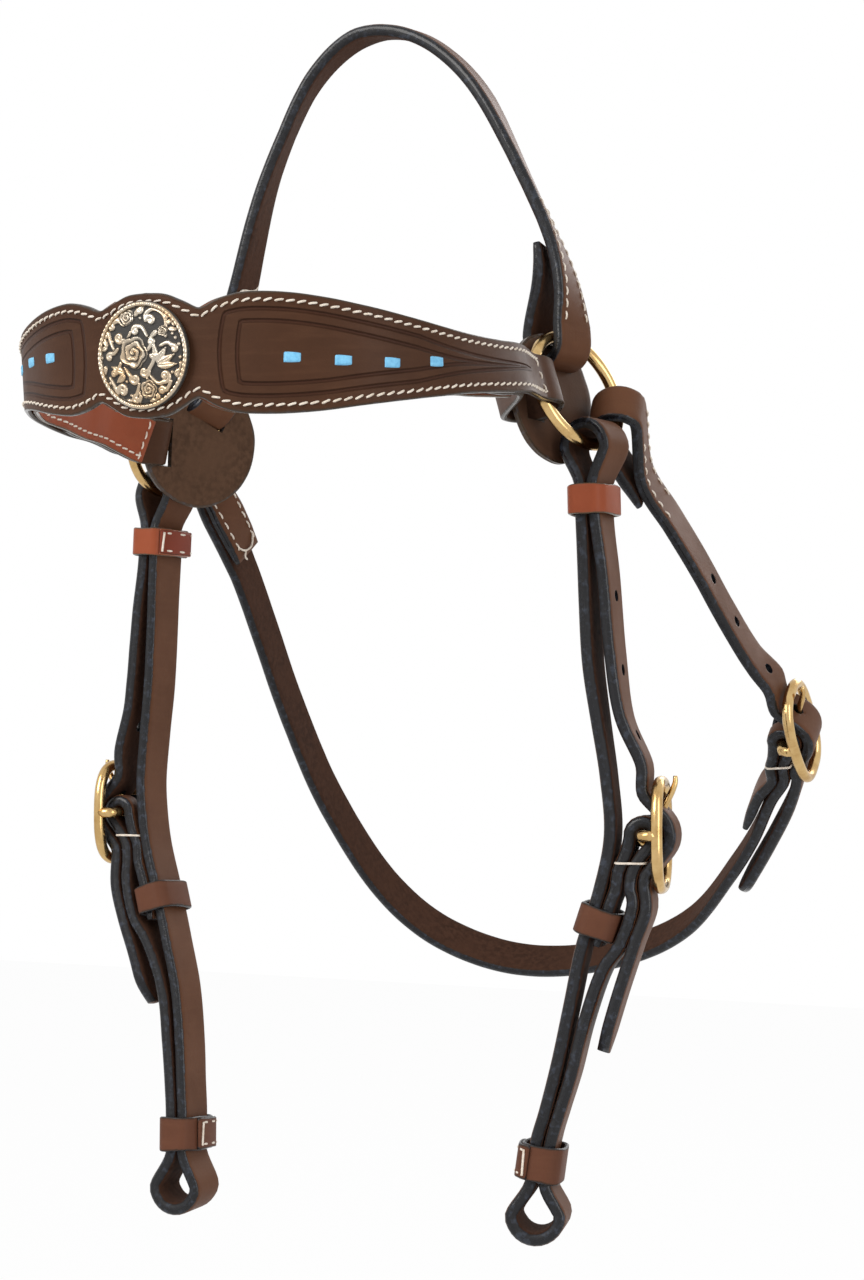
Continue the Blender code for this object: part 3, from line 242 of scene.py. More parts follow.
def arc(centre, radius, start, end, steps):
    # Points on an arc round centre, from start to end in degrees.
    angles = [radians(start + (end - start) * i / steps) for i in range(steps + 1)]
    return [(centre[0] + radius * cos(angle), centre[1] + radius * sin(angle)) for angle in angles]


def smoothRoute(keys, step=routeStep):
    # A smooth route through keys of (centre, across), cut into pieces no longer than step.
    points = [Vector(point) for point, _ in keys]
    sides = [across for _, across in keys]
    points = [points[0] * 2 - points[1]] + points + [points[-1] * 2 - points[-2]]
    route = []
    for number in range(len(sides) - 1):
        a, b, c, d = points[number:number + 4]
        knots = [0.0]
        for p, q in ((a, b), (b, c), (c, d)):
            knots.append(knots[-1] + max((q - p).length, 1e-6) ** 0.5)
        pieces = max(1, ceil((c - b).length / step))
        for i in range(pieces):
            t = knots[1] + (knots[2] - knots[1]) * i / pieces
            ab = a.lerp(b, (t - knots[0]) / (knots[1] - knots[0]))
            bc = b.lerp(c, (t - knots[1]) / (knots[2] - knots[1]))
            cd = c.lerp(d, (t - knots[2]) / (knots[3] - knots[2]))
            abc = ab.lerp(bc, (t - knots[0]) / (knots[2] - knots[0]))
            bcd = bc.lerp(cd, (t - knots[1]) / (knots[3] - knots[1]))
            across = sides[number].lerp(sides[number + 1], i / pieces)
            route.append((abc.lerp(bcd, (t - knots[1]) / (knots[2] - knots[1])), across))
    route.append((points[-2], sides[-1]))
    return route


def directions(centres):
    # Unit direction of travel at each point.
    last = len(centres) - 1
    return [(centres[min(i + 1, last)] - centres[max(i - 1, 0)]).normalized() for i in range(last + 1)]


def along(centres):
    # Distance travelled at each point.
    run = [0.0]
    for a, b in zip(centres, centres[1:]):
        run.append(run[-1] + (b - a).length)
    return run


def runOf(route):
    return along([centre for centre, _ in route])


def beside(keys, distance):
    # The keys moved through the leather's thickness, by a distance for each key or one for all.
    centres = [Vector(point) for point, _ in keys]
    moved = []
    for index, travel in enumerate(directions(centres)):
        offset = distance[index] if isinstance(distance, list) else distance
        across = keys[index][1]
        moved.append((centres[index] + travel.cross(across).normalized() * offset, across))
    return moved


def squareUp(route):
    # The route with each across made a unit vector square to the travel.
    travels = directions([centre for centre, _ in route])
    return [(centre, (across - travel * across.dot(travel)).normalized())
            for (centre, across), travel in zip(route, travels)]


def waisted(route, place, base):
    # Half width of a strap, narrowed where the route passes over a ring's wire at place.
    run = runOf(route)

    def halfWidth(at):
        index = min(range(len(run)), key=lambda i: abs(run[i] - at))
        share = ((route[index][0] - place).length - loopHollow * 1.9) / waistEase
        share = min(max(share, 0.0), 1.0)
        return reading(base, at) - loopWaist * (1 - share * share * (3 - 2 * share))
    return halfWidth


def taperedTip(total):
    # Half width of a strap whose last end comes to a blunt point.
    def halfWidth(run):
        share = sin(pi / 2 * min((total - run) / tipTaper, 1.0))
        return halfStrap * min(1.0, tipBlunt + (1 - tipBlunt) * share)
    return halfWidth


def skived(total, bothEnds=True):
    # Thickness of a strap thinned towards its first sewn end, or towards both.
    def thickAt(run):
        share = min(1.0, run / skive["length"])
        if bothEnds:
            share = min(share, (total - run) / skive["length"])
        return skive["least"] + (strapThick - skive["least"]) * min(max(share, 0.0), 1.0) ** skive["power"]
    return thickAt


class Ring:
    # A cheek ring: its middle, its outward normal and its rearward and upward directions.

    def __init__(self, side):
        sign = sideSigns[side]
        forward = radians(ringForward[side])
        lean = radians(ringLean[side])
        self.centre = Vector((sign * ringSpread, 0.0, ringHeight[side]))
        self.normal = Vector((sign * cos(lean) * cos(forward), -cos(lean) * sin(forward), sin(lean)))
        self.rear = Vector((sign * sin(forward), cos(forward), 0.0))
        self.up = (self.normal.cross(self.rear) * sign).normalized()

    def radial(self, angle):
        # Direction from the middle to the wire, from the rear (0) by the bottom (90) to the front (180).
        return self.rear * cos(radians(angle)) - self.up * sin(radians(angle))

    def wire(self, angle):
        return self.centre + self.radial(angle) * ringRadius

    def matrix(self):
        return frameMatrix(self.centre, self.rear, self.up, self.rear.cross(self.up))


cheekRings = {side: Ring(side) for side in sideSigns}
planRun = along([Vector((x, y, 0.0)) for x, y in browPlan])


def padDistance(angle, radius=ringRadius):
    # Distance between a ring's plane and the middle of its pad, at a place on the wire.
    room = halfStrap * padTiltRear + wireRadius * padTiltDown + 0.3
    least = wireRadius + gapSize + padThick / 2 + room
    lean = padTiltRear * cos(radians(angle)) + padTiltDown * sin(radians(angle))
    return least + padTiltDown * ringRadius + lean * radius


def hookRoom(angle, thick):
    # Middle radius and inward shift of a fold that holds both the wire and the pad's rim.
    across = abs(padTiltDown * cos(radians(angle)) - padTiltRear * sin(radians(angle)))
    outer = wireRadius + gapSize + 0.15
    inner = padDistance(angle) + padThick / 2 + halfStrap * across + ringSag * padTiltDown / 2 + gapSize
    return (outer + inner) / 2 + thick / 2, (inner - outer) / 2


def padFrame(side):
    # Middle and the two in-plane directions of a pad.
    ring = cheekRings[side]
    normal = (ring.normal + ring.rear * padTiltRear - ring.up * padTiltDown).normalized()
    up = (ring.up - normal * ring.up.dot(normal)).normalized()
    rear = (ring.rear - normal * ring.rear.dot(normal)).normalized()
    depth = padDistance(0, 0)
    shift = padShift[side]
    return ring.centre - ring.normal * depth + rear * shift[0] + up * shift[1], rear, up


def ringFold(ring, angle, thick):
    # Points of a fold round the wire and the pad's rim, from the outer leg to the inner one.
    radius, shift = hookRoom(angle, thick)
    radial = ring.radial(angle)
    centre = ring.wire(angle) - radial * ringSag - ring.normal * shift
    fold = [centre + (ring.normal * cos(radians(a)) - radial * sin(radians(a))) * radius
            for a in range(0, 181, 22)]
    return centre, radial, fold


class CheekFrame:
    # Turns (distance out, height) on a cheek into space, by the way that cheek hangs.

    def __init__(self, side):
        self.sign = sideSigns[side]
        self.shape = cheekTable[side]
        self.bar = self.layer(self.shape["bar_out"], self.shape["bar_height"])

    def leg(self, z):
        return readSmooth(self.shape["leg"], z)

    def axes(self, z):
        toe = radians(readSmooth(self.shape["toe"], z))
        out = Vector((self.sign * cos(toe), sin(toe), 0.0))
        across = Vector((-self.sign * sin(toe), cos(toe), 0.0))
        return out, across

    def place(self, s, z):
        base = Vector((self.sign * self.leg(z), readSmooth(self.shape["fore"], z), z))
        return base + self.axes(z)[0] * (s - self.leg(z))

    def layer(self, offset, z):
        # Point that lies offset outside the inner leg.
        return (self.leg(z) + offset, z)

    def layers(self, *rows):
        return [self.layer(offset, z) for offset, z in rows]

    def keeper(self, key):
        # Heights of a keeper's foot and top.
        return self.shape[key] - keeperLength[key] / 2, self.shape[key] + keeperLength[key] / 2

    def chord(self, z, reach):
        # Middle and direction of the inner leg's straight run inside a keeper.
        low = self.place(self.leg(z - reach), z - reach)
        high = self.place(self.leg(z + reach), z + reach)
        return (low + high) / 2, (high - low).normalized()


def rimHeight(y):
    # Height of the middle of a buckle's wire over its bar, at a distance from the buckle's middle.
    share = min(abs(y) / (buckleWidth / 2 - rimRadius), 1.0)
    return (buckleHeight / 2 - rimRadius) * (1 - share ** buckleSquareness) ** (1 / buckleSquareness)


def weave(bar):
    # Points of a billet that comes down inside the top rim, over the bar and inside the bottom rim.
    clear = rimRadius + gapSize + strapThick / 2 + 0.2
    rim = bar[0] + barSetIn
    top = rimHeight(0.0)
    edge = rimHeight(halfStrap)
    swing = top * sin(radians(buckleSwing))
    inside = rim - clear
    points = [(inside - swing, bar[1] + top + 6), (inside - swing, bar[1] + top)]
    points += arc((rim - swing, bar[1] + edge), clear, 182.0, 216.0, 2)
    points += arc(bar, bulgeRadius + 0.15, 40.0, -40.0, 4)
    points += arc((rim, bar[1] - edge), clear, 144.0, 178.0, 2)
    return points + [(inside, bar[1] - top)]


def chape(bar):
    # Points of the fold round the bar, from the sewn end up the inner side and down the outer one.
    points = [(bar[0] - inward, bar[1] - below) for inward, below in chapeInner]
    points += arc(bar, wrapRadius, 188, -44, 11)
    return points + [(bar[0] - inward, bar[1] - below) for inward, below in chapeOuter]


def cheekLine(lies, ringAt):
    # Centre line of one cheek strap as (distance out, height), from its sewn end to its tip.
    low, top = lies.keeper("middle_keeper")
    bitLow, bitTop = lies.keeper("bit_keeper")
    ringLow, ringTop = lies.keeper("top_keeper")
    foot, tip = lies.shape["loop"], lies.shape["tip"]
    past = 2 * layerStep + keeperWall + gapSize + keeperGap + 0.2
    tail = past + layerStep
    step = layerStep
    points = lies.layers((step, low - 4), (step, low - keeperRun), (step, top + keeperRun)) + chape(lies.bar)
    points += lies.layers((past, top + keeperRun), (past, low - 3), (past * 0.72, low - 12),
                          (step + 1.2, low - 32), (step + 0.7, low - 52), (step, bitTop + 12),
                          (step, bitTop + keeperRun), (step, bitLow - keeperRun))
    points += arc((lies.leg(foot) + step / 2, foot), bitLoopRadius + strapThick / 2, -6, -174, 7)
    first, last, rungs = bitTop + 30, ringLow - 14, 9
    points += lies.layers((0, bitLow - keeperRun), (0, bitTop + keeperRun), (0, bitTop + 12),
                          *((0, first + (last - first) * i / rungs) for i in range(rungs + 1)),
                          (0, ringLow - keeperRun), (0, ringTop + keeperRun))
    wire = ringAt[0]
    rise = ringSag + halfStrap * abs(cos(radians(ringAt[1])))
    crown = (lies.sign * wire.x, wire.z + wireRadius + rise + gapSize - loopHollow)
    points += arc(crown, loopHollow + strapThick / 2, 182, -2, 9)
    points += lies.layers((step, ringTop + keeperRun), (step, ringLow - keeperRun),
                          (step + 1.9, ringLow - 22), (step + 3.4, ringLow - 52),
                          (step + 3.8, lies.bar[1] + 44))
    points += weave(lies.bar)
    return points + lies.layers((tail + 0.2, top - 1), (tail, low - 3),
                                (tail - tipDroop / 2, (low + tip) / 2), (tail - tipDroop, tip))


def cheekRoute(side):
    lies = CheekFrame(side)
    angle = lies.shape["ring_at"]
    line = cheekLine(lies, (cheekRings[side].wire(angle), angle))
    flat = smoothRoute([((*point, 0.0), Vector((0.0, 0.0, 1.0))) for point in line])
    return [(lies.place(p.x, p.y), lies.axes(p.y)[1]) for p, _ in flat]


def crownHalf(side):
    # Half of the headpiece from its flat middle to its sewn end.
    sign = sideSigns[side]
    points = [Vector((sign * crownFlat / 2, 0.0, crownTop))]
    points += [Vector((sign * x, y, z)) for x, y, z in crownTable[side]]
    outside = []
    for point, travel in zip(points, directions(points)):
        outward = Vector((-travel.z, 0.0, travel.x)).normalized() * sign
        twist = radians(readSmooth(crownTwist[side], point.z))
        outside.append((point, Vector((0.0, cos(twist), 0.0)) + outward * sin(twist)))
    _, radial, fold = ringFold(cheekRings[side], crownHookAt[side], strapThick)
    tangent = radial.cross(cheekRings[side].normal)
    if tangent.y < 0:
        tangent = -tangent
    overRim = padMargin[side] + ringSag + padShift[side][1] + 2.0
    hook = [fold[0] + radial * hookRise, *fold]
    hook += [fold[-1] + radial * overRim * share for share in (0.5, 1.0)]
    back = outside[:-crownTurnbackCount[side] - 1:-1]
    return outside + [(point, tangent) for point in hook] + beside(back, sign * layerStep)[1:]


def crownRoute():
    # Both halves, with each sewn end laid close along its strap and the bends evened out.
    halves = {}
    for side, sign in sideSigns.items():
        keys = crownHalf(side)
        turnback = crownTurnbackCount[side] - 1
        main = keys[:-turnback]
        low, high = keys[-turnback][0].z, keys[-1][0].z
        leg = [key for key in smoothRoute(main) if key[0].z > low]
        leg = leg[:min(range(len(leg)), key=lambda i: leg[i][0].z - low)]
        back = [key for key in leg[::-1] if low + 3 < key[0].z < high]
        halves[side] = main + beside(back, sign * layerStep)[::4]
    route = smoothRoute(halves["far"][::-1] + halves["near"])
    for _ in range(crownSmoothing):
        moved = list(route)
        for i in range(1, len(route) - 1):
            place, across = route[i]
            ease = min(max((place.z + 150) / 40, 0.0), 1.0)
            middle = (route[i - 1][0] + route[i + 1][0]) / 2
            moved[i] = (place.lerp(middle, 0.5 * ease), across)
        route = moved
    return route


def browHalf(side):
    # Half of the browband's face from its middle to its turned-back tip.
    sign = sideSigns[side]
    ring = cheekRings[side]
    tilt = Vector((0.0, -sin(radians(browTilt)), cos(radians(browTilt))))
    _, radial, fold = ringFold(ring, 180, faceThick)
    keys = []
    for (x, y), at in zip(browPlan, planRun):
        ease = min(max((at - planRun[-1] + 60) / 75, 0.0), 1.0)
        height = readSmooth(browMiddle[side], at)
        height += (fold[0].z - height) * ease * ease
        keys.append((Vector((sign * x, y, height)), tilt.lerp(ring.up, ease).normalized()))
    overRim = padMargin[side] + ringSag + max(-padShift[side][0], 0.0) + 1.0
    outer = (fold[0] + radial * overRim * 0.6, ring.up)
    tip = beside(keys[-3:] + [outer], -sign * (faceThick + gapSize))[:-1]
    tip = [(tip[1][0].lerp(tip[0][0], browTip), tip[1][1]), tip[1], tip[2]]
    tail = [(fold[-1] + radial * overRim, ring.up)] + tip[::-1]
    return keys + [outer] + [(point, ring.up) for point in fold] + tail


def browRoute():
    # The face's stations, and the distance of each from the middle, negative on the far side.
    near = browHalf("near")
    stations = squareUp(smoothRoute(browHalf("far")[::-1] + near[1:], browStep))
    run = runOf(stations)
    middle = min(range(len(run)), key=lambda i: (stations[i][0] - near[0][0]).length)
    return stations, [value - run[middle] for value in run]


def halfHeight(at):
    # Half the browband's depth, at a distance that is negative on the far side.
    return readSmooth(browHalfTable["near" if at > 0 else "far"], abs(at))


def liningRoute():
    # The lining's stations behind the face, over its turned-back tip, and its half depth at each.
    stations, run = browRoute()
    tipRun = planRun[-2] + (planRun[-3] - planRun[-2]) * browTip
    plain = (faceThick + liningThick) / 2 + gapSize + 0.15
    overTip = plain + faceThick + gapSize + 0.3
    inner = [(key, at) for key, at in zip(stations, run) if abs(at) < planRun[-1] - 4]
    offsets = [-readTable([(tipRun - 20, plain), (tipRun - 6, overTip)], abs(at)) for _, at in inner]
    tip = list(zip(stations, run))[liningTip["last"]:liningTip["first"]:-1]
    whole = beside([key for key, _ in tip], -plain) + beside([key for key, _ in inner], offsets)
    route = squareUp(smoothRoute(whole[::3] + [whole[-1]], browStep))
    ends = [at for _, at in tip] + [at for _, at in inner]
    shares = [i * (len(ends) - 1) / (len(route) - 1) for i in range(len(route))]
    return route, [halfHeight(ends[round(share)]) - 0.2 for share in shares]


class ThroatFrame:
    # The slanting plane that the throatlash lies in. Points in it are (sideways, down).

    def __init__(self):
        near, far = (cheekRings[side].wire(throatAt[side]) for side in sideSigns)
        self.side = (near - far).normalized()
        self.origin = near - self.side * (near.x / self.side.x)
        slant = radians(throatSlant)
        down = Vector((0.0, sin(slant), -cos(slant)))
        self.down = (down - self.side * down.dot(self.side)).normalized()
        self.across = self.side.cross(self.down)

    def place(self, point):
        return self.origin + self.side * point[0] + self.down * point[1]

    def flat(self, point):
        # The plane's own coordinates of a point given by its distance from the middle of the bridle.
        return ((point[0] - self.down.x * point[1]) / self.side.x, point[1])

    def flats(self, points):
        return [self.flat(point) for point in points]

    def keys(self, points, across=None):
        return [(self.place(point), across or self.across) for point in points]

    def hook(self, side):
        # Loop over a ring's wire, from its inner leg over the top to its outer leg.
        ring = cheekRings[side]
        angle = throatAt[side]
        tangent = ring.radial(angle).cross(ring.normal)
        if tangent.dot(self.across) < 0:
            tangent = -tangent
        tangent = tangent.lerp(self.across, throatUntwist).normalized()
        out = (self.side - tangent * self.side.dot(tangent)).normalized() * sideSigns[side]
        down = (self.down - tangent * self.down.dot(tangent) - out * self.down.dot(out)).normalized()
        centre = ring.wire(angle) + down * (loopHollow - wireRadius - ringSag - gapSize - throatSlack[side])
        radius = loopHollow + strapThick / 2
        return [(centre + (out * cos(radians(a)) - down * sin(radians(a))) * radius, tangent)
                for a in range(184, -5, -21)]


def billetRoute():
    lies = ThroatFrame()
    bar = lies.flat(throatBar)
    twist = radians(throatBilletTwist)
    leg = lies.keys(lies.flats(throatBillet), lies.across * cos(twist) + lies.side * sin(twist))
    inner = beside(leg[:2], -layerStep)[::-1]
    inner[0] = (leg[0][0].lerp(leg[1][0], 0.35) + (inner[0][0] - leg[1][0]), inner[0][1])
    over = [(x, 2 * bar[1] - y) for x, y in weave(bar)]
    return smoothRoute(inner + lies.hook("near") + leg + lies.keys(over + lies.flats(throatTail)))


def throatRoute():
    lies = ThroatFrame()
    bar = lies.flat(throatBar)
    lower = lies.flats(throatBelowBuckle)
    flat = Vector((0.0, 0.0, 1.0))
    sewn = [(point.x, point.y) for point, _ in
            beside([(Vector((*point, 0.0)), flat) for point in lower], -layerStep)]
    start = tuple(a + (b - a) * 0.75 for a, b in zip(*sewn))
    fold = [(x, 2 * bar[1] - y) for x, y in chape(bar)]
    main = lies.keys([start, sewn[0]] + fold + lower + lies.flats(throatStrap)) + lies.hook("far")[::-1]
    leg = smoothRoute(main)
    run = runOf(leg)
    back = [key for key, value in zip(leg, run) if throatSewn["high"] < run[-1] - value < throatSewn["low"]]
    return smoothRoute(main + beside(back[::-1], layerStep)[::3])


def buckleFrame(side):
    # Place of a buckle's bar, with X out of the cheek and Y along the bar.
    if side == "throat":
        lies = ThroatFrame()
        bar = lies.place(lies.flat(throatBar))
        return frameMatrix(bar, lies.side, lies.across, lies.side.cross(lies.across))
    lies = CheekFrame(side)
    out, across = lies.axes(lies.bar[1])
    across = across * lies.sign
    return frameMatrix(lies.place(*lies.bar), out, across, out.cross(across))


def tonguePoints():
    # Line of the tongue's stem in the buckle's X and Z, from its eye to its tip on the rim.
    eye = barRadius + gapSize + eyeWire
    rise = rimHeight(0.0)
    rest = barSetIn + rimRadius + tongueDia * 0.4 + gapSize + rise * sin(radians(tongueSwing))
    return [Vector(point) for point in (
        (eye * 0.75, 0.0, eye * 0.66), (barSetIn + 1.4, 0.0, rise * 0.56),
        (rest, 0.0, rise - 0.5), (rest + 0.1, 0.0, rise + rimRadius))]


def conchoFrame():
    # Middle of the concho's back on the browband's face, with Z out.
    tilt = radians(browTilt)
    out = Vector((0.0, -cos(tilt), -sin(tilt)))
    up = Vector((0.0, -sin(tilt), cos(tilt)))
    seat = Vector((0.0, browPlan[0][1], browMiddle["near"][0][1])) + out * (faceThick / 2 + gapSize)
    return frameMatrix(seat, up.cross(out), up, out)


# From the middle of the headpiece's flat to the origin, which lies on the flat face under it
crownOut = Vector((0.0, sin(radians(crownTilt)), -cos(radians(crownTilt))))
toOrigin = -(Vector((0.0, 0.0, crownTop)) + crownOut * (strapThick / 2 - seatDepth))


def worldPoint(point):
    return (Vector(point) + toOrigin) * mm


def inPlace(obj, place):
    obj.matrix_world = Matrix.Translation(toOrigin * mm) @ place
    return obj


# Meshes

def linked(obj):
    bpy.context.scene.collection.objects.link(obj)
    return obj


def finish(obj, body, slotName, *nodes):
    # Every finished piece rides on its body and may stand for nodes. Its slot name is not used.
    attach(obj, body)
    if nodes:
        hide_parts(*nodes)


def meshFrom(name, verts, faces, values=None, edges=()):
    mesh = bpy.data.meshes.new(name)
    mesh.from_pydata([tuple(v) for v in verts], edges, faces)
    for key, numbers in (values or {}).items():
        layer = mesh.attributes.new(key, "FLOAT", "POINT")
        layer.data.foreach_set("value", np.asarray(numbers, dtype=np.float32))
    mesh.shade_smooth()
    return linked(bpy.data.objects.new(name, mesh))


def tidyNormals(obj):
    bm = bmesh.new()
    bm.from_mesh(obj.data)
    bmesh.ops.recalc_face_normals(bm, faces=bm.faces)
    bm.to_mesh(obj.data)
    bm.free()


def solidFrom(name, verts, faces, mat, values):
    obj = meshFrom(name, verts, faces, values)
    tidyNormals(obj)
    obj.data.materials.append(mat)
    return obj


def band(first, second, count):
    # Quads between two closed rows of count points that start at first and second.
    return [(first + j, first + (j + 1) % count, second + (j + 1) % count, second + j) for j in range(count)]


def bmeshObject(name, bm):
    mesh = bpy.data.meshes.new(name)
    bm.to_mesh(mesh)
    bm.free()
    return bpy.data.objects.new(name, mesh)


def cylinder(name, radius, length, place, sides):
    # Closed cylinder along the Z axis of its place, centred on it.
    bm = bmesh.new()
    bmesh.ops.create_cone(bm, cap_ends=True, segments=sides, radius1=radius * mm, radius2=radius * mm,
                          depth=length * mm)
    return inPlace(bmeshObject(name, bm), place)


def box(name, size, place):
    bm = bmesh.new()
    bmesh.ops.create_cube(bm, size=1.0)
    bmesh.ops.scale(bm, vec=Vector(size) * mm, verts=bm.verts)
    return inPlace(bmeshObject(name, bm), place)


def torus(name, major, minor, place, rings=96, sides=20):
    bpy.ops.mesh.primitive_torus_add(major_segments=rings, minor_segments=sides, major_radius=major * mm,
                                     minor_radius=minor * mm)
    obj = bpy.context.object
    obj.name = name
    return inPlace(obj, place)


def tube(name, points, radius, closed=False, radii=None, sides=2):
    # A round wire through the points as a welded mesh object, not yet linked.
    curve = bpy.data.curves.new(name, "CURVE")
    curve.dimensions = "3D"
    curve.bevel_depth = radius * mm
    curve.bevel_resolution = sides
    curve.use_fill_caps = True
    spline = curve.splines.new("POLY")
    spline.points.add(len(points) - 1)
    for i, point in enumerate(points):
        spline.points[i].co = (*(Vector(point) * mm), 1.0)
        spline.points[i].radius = radii[i] if radii else 1.0
    spline.use_cyclic_u = closed
    guide = linked(bpy.data.objects.new(name, curve))
    mesh = bpy.data.meshes.new_from_object(guide.evaluated_get(bpy.context.evaluated_depsgraph_get()))
    bm = bmesh.new()
    bm.from_mesh(mesh)
    bmesh.ops.remove_doubles(bm, verts=bm.verts, dist=0.00002)
    bmesh.ops.recalc_face_normals(bm, faces=bm.faces)
    bpy.data.objects.remove(guide, do_unlink=True)
    bpy.data.curves.remove(curve)
    bpy.data.meshes.remove(mesh)
    return bmeshObject(name, bm)


def strand(name, points, radius, closed=False):
    # A thread through places given in the solids' frame.
    obj = linked(tube(name, [worldPoint(p) / mm for p in points], radius, closed))
    obj.data.shade_smooth()
    obj.data.materials.append(thread)
    return obj


def softLine(points, rounds=2):
    # Corners of an open line rounded by cutting them.
    points = [Vector(p) for p in points]
    for _ in range(rounds):
        cut = [points[0]]
        for a, b in zip(points, points[1:]):
            cut += [a.lerp(b, 0.25), a.lerp(b, 0.75)]
        points = cut + [points[-1]]
    return points


def joined(name, objects):
    # One mesh object from several, with their materials kept.
    bm = bmesh.new()
    materials = []
    for obj in objects:
        start = len(bm.faces)
        mesh = obj.data.copy()
        mesh.transform(obj.matrix_world)
        bm.from_mesh(mesh)
        bm.faces.ensure_lookup_table()
        materials += [mat for mat in mesh.materials if mat not in materials]
        slots = [materials.index(mat) for mat in mesh.materials]
        for face in bm.faces[start:]:
            face.material_index = slots[face.material_index]
        bpy.data.meshes.remove(mesh)
        bpy.data.objects.remove(obj, do_unlink=True)
    whole = linked(bmeshObject(name, bm))
    for mat in materials:
        whole.data.materials.append(mat)
    return whole


def applied(obj):
    # The object with its modifiers and its place worked into its mesh.
    bpy.context.view_layer.update()
    depsgraph = bpy.context.evaluated_depsgraph_get()
    mesh = bpy.data.meshes.new_from_object(obj.evaluated_get(depsgraph))
    mesh.transform(obj.matrix_world)
    mesh.name = name = obj.name
    bpy.data.objects.remove(obj, do_unlink=True)
    return linked(bpy.data.objects.new(name, mesh))


def cutHoles(obj, cuts):
    for cutter in cuts:
        modifier = obj.modifiers.new("cut", "BOOLEAN")
        modifier.operation = "DIFFERENCE"
        modifier.object = linked(cutter)
        modifier.solver = "EXACT"
    done = applied(obj)
    for cutter in cuts:
        bpy.data.objects.remove(cutter, do_unlink=True)
    return done


def strapProfile(flat, corner):
    # Points round a strap's section as (share of the flat, corner in x, share in y, corner in y).
    def turned(fx, fy, start, first, last):
        angles = [radians(start + 90 * i / corner) for i in range(first, last)]
        return [(fx, cos(a), fy, sin(a)) for a in angles]

    points = [(1 - 2 * i / flat, 0.0, 1.0, 1.0) for i in range(flat + 1)]
    points += turned(-1.0, 1.0, 90, 1, corner + 1) + turned(-1.0, -1.0, 180, 0, corner + 1)
    points += [(2 * i / flat - 1, 0.0, -1.0, -1.0) for i in range(1, flat)]
    return points + turned(1.0, -1.0, 270, 0, corner + 1) + turned(1.0, 1.0, 0, 0, corner)


def sweep(name, stations, thick, halfWidth, mat, grain=1.0, corner=1.85, flat=10, wobble=0.12):
    # Leather swept along stations of (centre, across), its grain face on the side that grain gives.
    # thick and halfWidth are numbers or functions of the distance along it.
    stations = squareUp(stations)
    run = runOf(stations)
    travels = directions([centre for centre, _ in stations])
    section = strapProfile(flat, 4)
    verts, values = [], {"acrossMm": [], "through": [], "alongMm": [], "rimMm": []}
    for (centre, across), travel, at in zip(stations, travels, run):
        normal = travel.cross(across).normalized() * grain
        half = reading(halfWidth, at)
        deep = reading(thick, at) / 2
        bend = min(corner, deep * 0.9)
        for fx, cx, fy, cy in section:
            x = fx * (half - bend) + cx * bend
            y = fy * (deep - bend) + cy * bend
            place = centre + across * x + normal * y
            if cx:
                lump = noise.noise(place * 0.09 + Vector((31.0, 7.0, 3.0))) * wobble
                place = place + across * (lump * (1 if fx > 0 else -1))
            verts.append(worldPoint(place))
            for key, value in zip(values, (x, y / deep, at, half - abs(x))):
                values[key].append(value)
    size = len(section)
    faces = []
    for i in range(len(stations) - 1):
        faces += band(i * size, (i + 1) * size, size)
    last = (len(stations) - 1) * size
    faces += [tuple(range(size - 1, -1, -1)), tuple(range(last, last + size))]
    return solidFrom(name, verts, faces, mat, values)


def holeCutters(name, route, holes):
    # Punches through a strap at distances along it.
    route = squareUp(route)
    run = runOf(route)
    travels = directions([centre for centre, _ in route])
    found = []
    for number, distance in enumerate(holes):
        index = max(i for i, value in enumerate(run[:-1]) if value <= distance)
        centre, across = route[index]
        travel = travels[index]
        through = travel.cross(across).normalized()
        place = frameMatrix(centre, travel, through.cross(travel), through)
        found.append(cylinder(f"{name}.punch{number}", holeDia / 2, strapThick * 2, place, 20))
    return found


def tongueCutters(name, place):
    # The slot for the tongue in the fold round a bar, and the hole that the tongue lies in.
    turn = Matrix.Rotation(radians(90), 4, "X")
    slot = cylinder(name + ".slot", wrapRadius + strapThick / 2 + 0.15, tongueDia + 2.2, place @ turn, 28)
    a, b, c, _ = tonguePoints()
    swing = b.length * sin(radians(tongueSwing)) / 2
    room = [point - Vector((swing, 0.0, 0.0)) for point in (a.lerp(b, 0.15), b, b.lerp(c, 0.85))]
    hole = tube(name + ".hole", room, tongueDia / 2 + swing + gapSize + 0.25)
    return [slot, inPlace(hole, place)]


# Shaders

